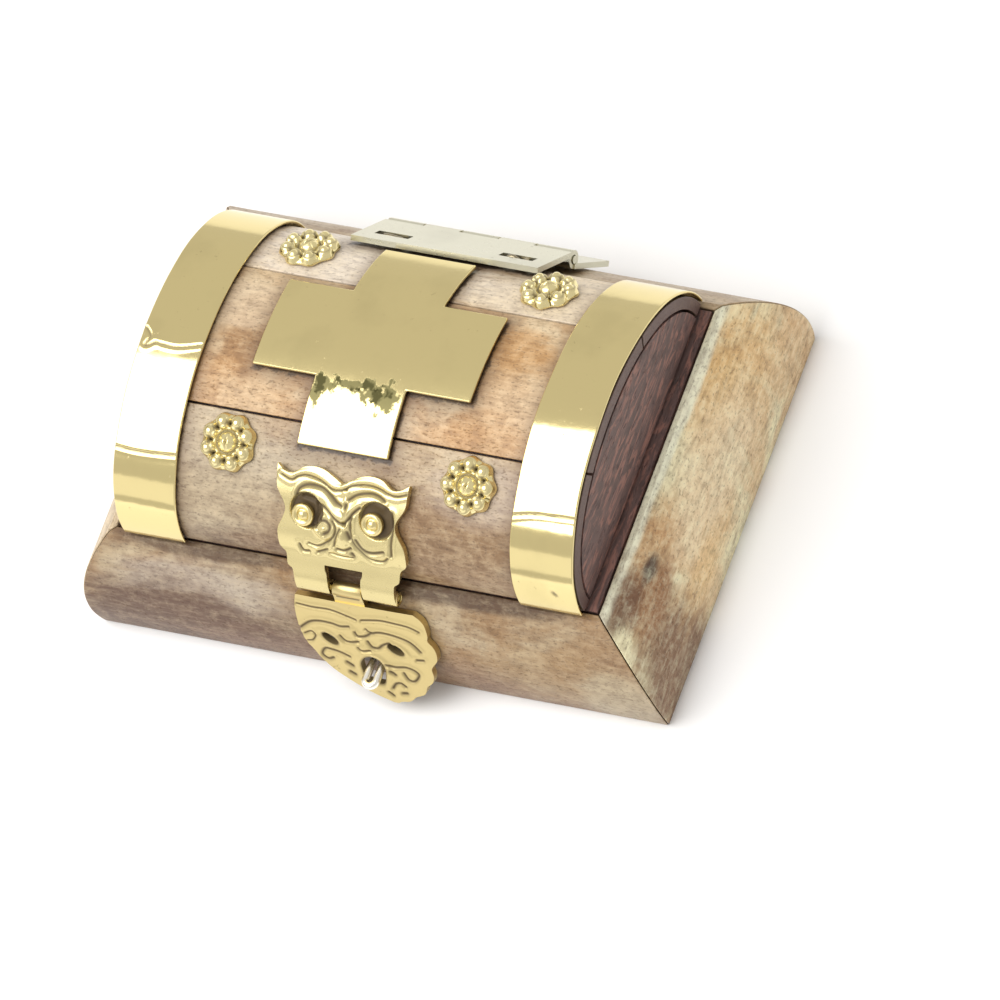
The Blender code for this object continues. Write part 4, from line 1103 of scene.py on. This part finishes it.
def in_mouth(x, y):
    """Less than 1 inside the keyhole mouth."""
    centre, top, low, half = MOUTH
    middle = top + half
    narrow = half * (1 - 0.20 * np.clip((y - middle) / (low - middle), 0, 1))
    above = np.hypot((x - centre) / half, np.minimum(y - middle, 0) / half)
    deep = np.maximum(y - middle, 0) / (low - middle)
    below = ((np.abs(x - centre) / narrow) ** 6 + deep**6) ** (1 / 6)
    return np.where(y < middle, above, below)


def in_eye(x, y, slot):
    """Less than 1 inside a slanting eye slot."""
    long_half, short_half, tilt = EYE_SLOT
    a = (x - slot[0]) * math.cos(tilt) + (y - slot[1]) * math.sin(tilt)
    b = (y - slot[1]) * math.cos(tilt) - (x - slot[0]) * math.sin(tilt)
    return np.hypot(a / long_half, b / short_half)


def flap_relief(x, y):
    """Height in millimetres over the flap, and its tarnish: a beast's face with a banded
    forehead, arched brows, a wrinkled nose and scrolled cheeks. The rims and walls of the eye slots and of
    the mouth carry painted shade."""
    rise, tarnish = engraved(x, y, FLAP_STROKES, 0.13)
    rise += 0.14 * hill(np.hypot((x - 1.1) / 1.2, (y - 7.8) / 0.8), 0.8)
    for slot in EYE_SLOTS:
        rise += 0.12 * hill((in_eye(x, y, slot) - 1.5) * 0.8, 0.30)
        # Painted shade on the rim and walls of each eye slot.
        tarnish = np.maximum(tarnish, hill((in_eye(x, y, slot) - 1) * 0.8, 0.12) * 0.8)
    rise += 0.16 * hill((in_mouth(x, y) - 1.25) * 1.5, 0.3)
    # Painted shade on the rim and walls of the mouth.
    tarnish = np.maximum(tarnish, hill((in_mouth(x, y) - 1) * 1.6, 0.15) * 0.7)
    plain = np.clip((y - 1.9) / 0.6, 0, 1)
    return rise * plain, tarnish * plain


def tongue_down(y):
    """How far down from the pin a point of the tongue's plate lies, in millimetres."""
    return TONGUE_START + (1 - y) / 2 * (FLAP_SHOULDER + 0.1)


def from_hasp_pin(across, down, lift):
    """Places on the hanging flap, in metres: across, down from its pin, out from its middle."""
    down_axis = Vector((0, -math.sin(HASP_SLOPE), -math.cos(HASP_SLOPE)))
    out_axis = Vector((0, -math.cos(HASP_SLOPE), math.sin(HASP_SLOPE)))
    pin = np.array((0, HASP_PIN.y, HASP_PIN.z))
    along = down[:, None] * np.array(down_axis) + lift[:, None] * np.array(out_axis)
    nought = np.zeros_like(across)
    return pin + along + np.stack([across, nought, nought], axis=-1)


class INCENSE_OT_flap(bpy.types.Operator):
    """The hasp's flap, a beast's mask that hangs from the pin by its tongue"""

    bl_idname = "incense.flap"
    bl_label = "Hasp flap"

    def execute(self, context):
        finish = brass_finish("flap brass", 0.26, True, (0.66, 0.53, 0.25))
        left_y, left_x = np.array(smooth_path(FLAP_LEFT)).T
        right_y, right_x = np.array(smooth_path(FLAP_RIGHT)).T
        grown = sizes().flap_half_width / FLAP_WIDTH
        holes = [in_mouth, *(lambda a, b, slot=slot: in_eye(a, b, slot) for slot in EYE_SLOTS)]

        def outline(x, y):
            down = FLAP_SHOULDER + (FLAP_TIP - FLAP_SHOULDER) * (1 - y) / 2
            left = np.interp(down, left_y, left_x)
            right = np.interp(down, right_y, right_x)
            return (left + right) / 2 + x * (right - left) / 2, down

        def keep(x, y):
            across, down = outline(np.array([x]), np.array([y]))
            return not any(hole(across, down)[0] < 1 for hole in holes)

        def spread(x, y):
            across, down = outline(x, y)
            for hole in holes:
                across, down = pushed_to_rim(across, down, hole)
            return across, down

        def engraving(x, y):
            return flap_relief(*spread(x, y))[1]

        def place(x, y, layer):
            across, down = spread(x, y)
            share = np.clip(down / (FLAP_LENGTH * 1000), 0, 1)
            bulge = FLAP_DOME * (1 - (across / 10) ** 2) * np.sin(math.pi * share**0.8)
            relief = layer * flap_relief(across, down)[0] * MM
            lift = layer * FLAP_THICKNESS - FLAP_THICKNESS / 2 + bulge + relief
            return from_hasp_pin(across * MM * grown, down * MM, lift)

        def tongue_place(x, y, layer):
            down = tongue_down(y)
            curl = 0.0004 * np.clip(1 - down / 1.4, 0, 1) * layer
            lift = layer * FLAP_THICKNESS - FLAP_THICKNESS / 2 + curl
            return from_hasp_pin(x * TONGUE_HALF * MM, down * MM, lift)

        def tongue_engraving(x, y):
            return hill(tongue_down(y) - 0.75, 0.14) * (np.abs(x) < 0.8)

        face = shaped(flat_plate(170, 150, keep), place, engraving)
        neck = shaped(flat_plate(24, 12), tongue_place, tongue_engraving)
        mesh = joined(face, neck, knuckle(-FLAP_KNUCKLE_HALF, FLAP_KNUCKLE_HALF))
        edge = sizes().brass_edge
        add_piece("hasp_flap_fine", mesh, finish, "hasp", "brass", ("hasp_flap",), edge, 50)
        return {"FINISHED"}


def pushed_to_rim(across, down, test):
    """Points near a hole's ragged edge move on to its true edge."""
    across = across.copy()
    down = down.copy()
    level = test(across, down)
    step = 0.02
    reach = 0.085
    for _ in range(3):
        slope_x = (test(across + step, down) - test(across - step, down)) / (2 * step)
        slope_y = (test(across, down + step) - test(across, down - step)) / (2 * step)
        steep = slope_x**2 + slope_y**2 + 1e-9
        shortfall = np.where(np.abs(level - 1) / np.sqrt(steep) < reach, 1 - level, 0)
        across += shortfall * slope_x / steep
        down += shortfall * slope_y / steep
        level = test(across, down)
    return across, down


def wire(name, points, radius, finish, body, replaces=()):
    """A round wire through points, as a mesh with closed ends."""
    curve = bpy.data.curves.new(name, "CURVE")
    curve.dimensions = "3D"
    curve.bevel_depth = radius
    curve.bevel_resolution = 4
    curve.use_fill_caps = True
    spline = curve.splines.new("POLY")
    spline.points.add(len(points) - 1)
    for point, at in zip(spline.points, points):
        point.co = (*at, 1)
    holder = bpy.data.objects.new(name, curve)
    bpy.context.scene.collection.objects.link(holder)
    graph = bpy.context.evaluated_depsgraph_get()
    mesh = bpy.data.meshes.new_from_object(holder.evaluated_get(graph))
    bpy.data.objects.remove(holder)
    bpy.data.curves.remove(curve)
    add_piece(name, mesh, finish, body, "brass", replaces)


class INCENSE_OT_staple(bpy.types.Operator):
    """The bright wire loop that stands through the flap's mouth"""

    bl_idname = "incense.staple"
    bl_label = "Staple"

    def execute(self, context):
        finish = brass_finish("staple wire", 0.15, tint=(0.95, 0.92, 0.84))
        radius = (STAPLE_HIGH.z - STAPLE_LOW.z) / 2
        middle = (STAPLE_LOW + STAPLE_HIGH) / 2
        bend = (STAPLE_HIGH.x - STAPLE_LOW.x) / 2 - radius
        bow = 0.0009
        points = [(middle.x - bend, STAPLE_HIGH.y, middle.z)]
        turns = 16
        for step in range(turns + 1):
            angle = math.pi * step / turns
            reach = STAPLE_LOW.y - bow + radius + bend * (1 - math.sin(angle))
            points.append((middle.x - bend * math.cos(angle), reach, middle.z))
        points.append((middle.x + bend, STAPLE_HIGH.y, middle.z))
        wire("staple_fine", points, radius * 1.25, finish, "base", ("staple",))
        return {"FINISHED"}


class INCENSE_OT_hinge(bpy.types.Operator):
    """The hinge behind: both leaves, with the wire ends in the slots of the upper one"""

    bl_idname = "incense.hinge"
    bl_label = "Hinge"

    def execute(self, context):
        finish = brass_finish("hinge brass", 0.22, tint=(0.62, 0.60, 0.47))
        for name in ("hinge_leaf_lid", "hinge_leaf_base", "hinge_pin"):
            finish_node(name, finish)
        wire_finish = brass_finish("brad wire", 0.2, tint=(0.35, 0.30, 0.20))
        for hand in ("left", "right"):
            name = f"hinge_brad_{hand}"
            low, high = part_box(name)
            radius = (high.y - low.y) / 2
            middle = (low + high) / 2
            points = []
            turns = 14
            for step in range(turns + 1):
                share = step / turns
                along = low.x + radius + (high.x - low.x - 2 * radius) * share
                bend, waves = (0.00022, 7) if hand == "right" else (0.00006, 5)
                kink = bend * math.sin(share * waves)
                points.append((along, middle.y + kink * 0.7, middle.z + kink))
            wire(f"{name}_fine", points, radius * 0.9, wire_finish, "lid", (name,))
        return {"FINISHED"}


def area_light(name, size, power, place, target):
    data = bpy.data.lights.new(name, "AREA")
    data.shape = "RECTANGLE"
    data.size = size[0]
    data.size_y = size[1]
    data.energy = power
    light = bpy.data.objects.new(name, data)
    light.location = place
    light.rotation_mode = "QUATERNION"
    light.rotation_quaternion = (Vector(target) - Vector(place)).to_track_quat("-Z", "Y")
    bpy.context.scene.collection.objects.link(light)


class INCENSE_OT_stage(bpy.types.Operator):
    """The pale floor, the soft lights and the camera"""

    bl_idname = "incense.stage"
    bl_label = "Stage"

    def execute(self, context):
        floor = bpy.data.objects.new("floor", floor_mesh(4.0))
        bpy.context.scene.collection.objects.link(floor)
        floor.data.materials.append(Finish("white floor").use((0.90, 0.90, 0.90), 0.8))
        world = bpy.data.worlds.new("studio")
        world.use_nodes = True
        bpy.context.scene.world = world
        background = world.node_tree.nodes["Background"]
        background.inputs["Color"].default_value = (1.0, 0.98, 0.95, 1)
        background.inputs["Strength"].default_value = 0.72
        area_light("softbox", (1.3, 1.1), 15, (-0.55, -0.38, 1.0), (-0.55, -0.38, 0))
        area_light("front glow", (1.3, 0.5), 0.9, (-0.66, -1.28, 0.42), (0, 0, 0.02))
        self.add_camera()
        bpy.context.scene.view_settings.view_transform = "Standard"
        return {"FINISHED"}

    def add_camera(self):
        """A long lens high in front to the right, turned a little so the box leans left."""
        right = Vector((0.88206, 0.33471, -0.33157))
        up = Vector((-0.16138, 0.87584, 0.45481))
        back = Vector((0.44263, -0.34766, 0.82656))
        distance = 3.0
        lens = 901.7
        right_of_box = 0.00485
        below_box = 0.00248
        data = bpy.data.cameras.new("camera")
        data.lens = lens
        data.clip_start = 0.1
        data.clip_end = 20
        camera = bpy.data.objects.new("camera", data)
        place = back * distance + right * right_of_box - up * below_box
        turn = Matrix((right, up, back)).transposed()
        camera.matrix_world = Matrix.Translation(place) @ turn.to_4x4()
        bpy.context.scene.collection.objects.link(camera)
        bpy.context.scene.camera = camera


def floor_mesh(half):
    bm = bmesh.new()
    bmesh.ops.create_grid(bm, x_segments=1, y_segments=1, size=half)
    return mesh_from(bm, "floor")


OPERATORS = (
    INCENSE_OT_wood, INCENSE_OT_mouldings, INCENSE_OT_bone_plates, INCENSE_OT_bands, INCENSE_OT_cross,
    INCENSE_OT_rosettes, INCENSE_OT_owl, INCENSE_OT_flap, INCENSE_OT_staple, INCENSE_OT_hinge,
    INCENSE_OT_stage,
)


class INCENSE_PT_panel(bpy.types.Panel):
    """Builds the box piece by piece."""

    bl_label = "Incense Box"
    bl_idname = "INCENSE_PT_panel"
    bl_space_type = "VIEW_3D"
    bl_region_type = "UI"
    bl_category = "Incense Box"

    def draw(self, context):
        layout = self.layout
        for group in (context.scene.incense_box_sizes, context.scene.incense_box_colours):
            for name in group.__annotations__:
                layout.prop(group, name)
        for operator in OPERATORS:
            layout.operator(operator.bl_idname)


CLASSES = (IncenseBoxSizes, IncenseBoxColours, *OPERATORS, INCENSE_PT_panel)


def register():
    for made in CLASSES:
        bpy.utils.register_class(made)
    bpy.types.Scene.incense_box_sizes = bpy.props.PointerProperty(type=IncenseBoxSizes)
    bpy.types.Scene.incense_box_colours = bpy.props.PointerProperty(type=IncenseBoxColours)


def unregister():
    del bpy.types.Scene.incense_box_colours
    del bpy.types.Scene.incense_box_sizes
    for made in reversed(CLASSES):
        bpy.utils.unregister_class(made)


def main():
    register()
    bpy.ops.incense.stage()
    bpy.ops.incense.wood()
    bpy.ops.incense.mouldings()
    bpy.ops.incense.bone_plates()
    bpy.ops.incense.bands()
    bpy.ops.incense.cross()
    bpy.ops.incense.rosettes()
    bpy.ops.incense.owl()
    bpy.ops.incense.flap()
    bpy.ops.incense.staple()
    bpy.ops.incense.hinge()


if __name__ == "__main__":
    main()
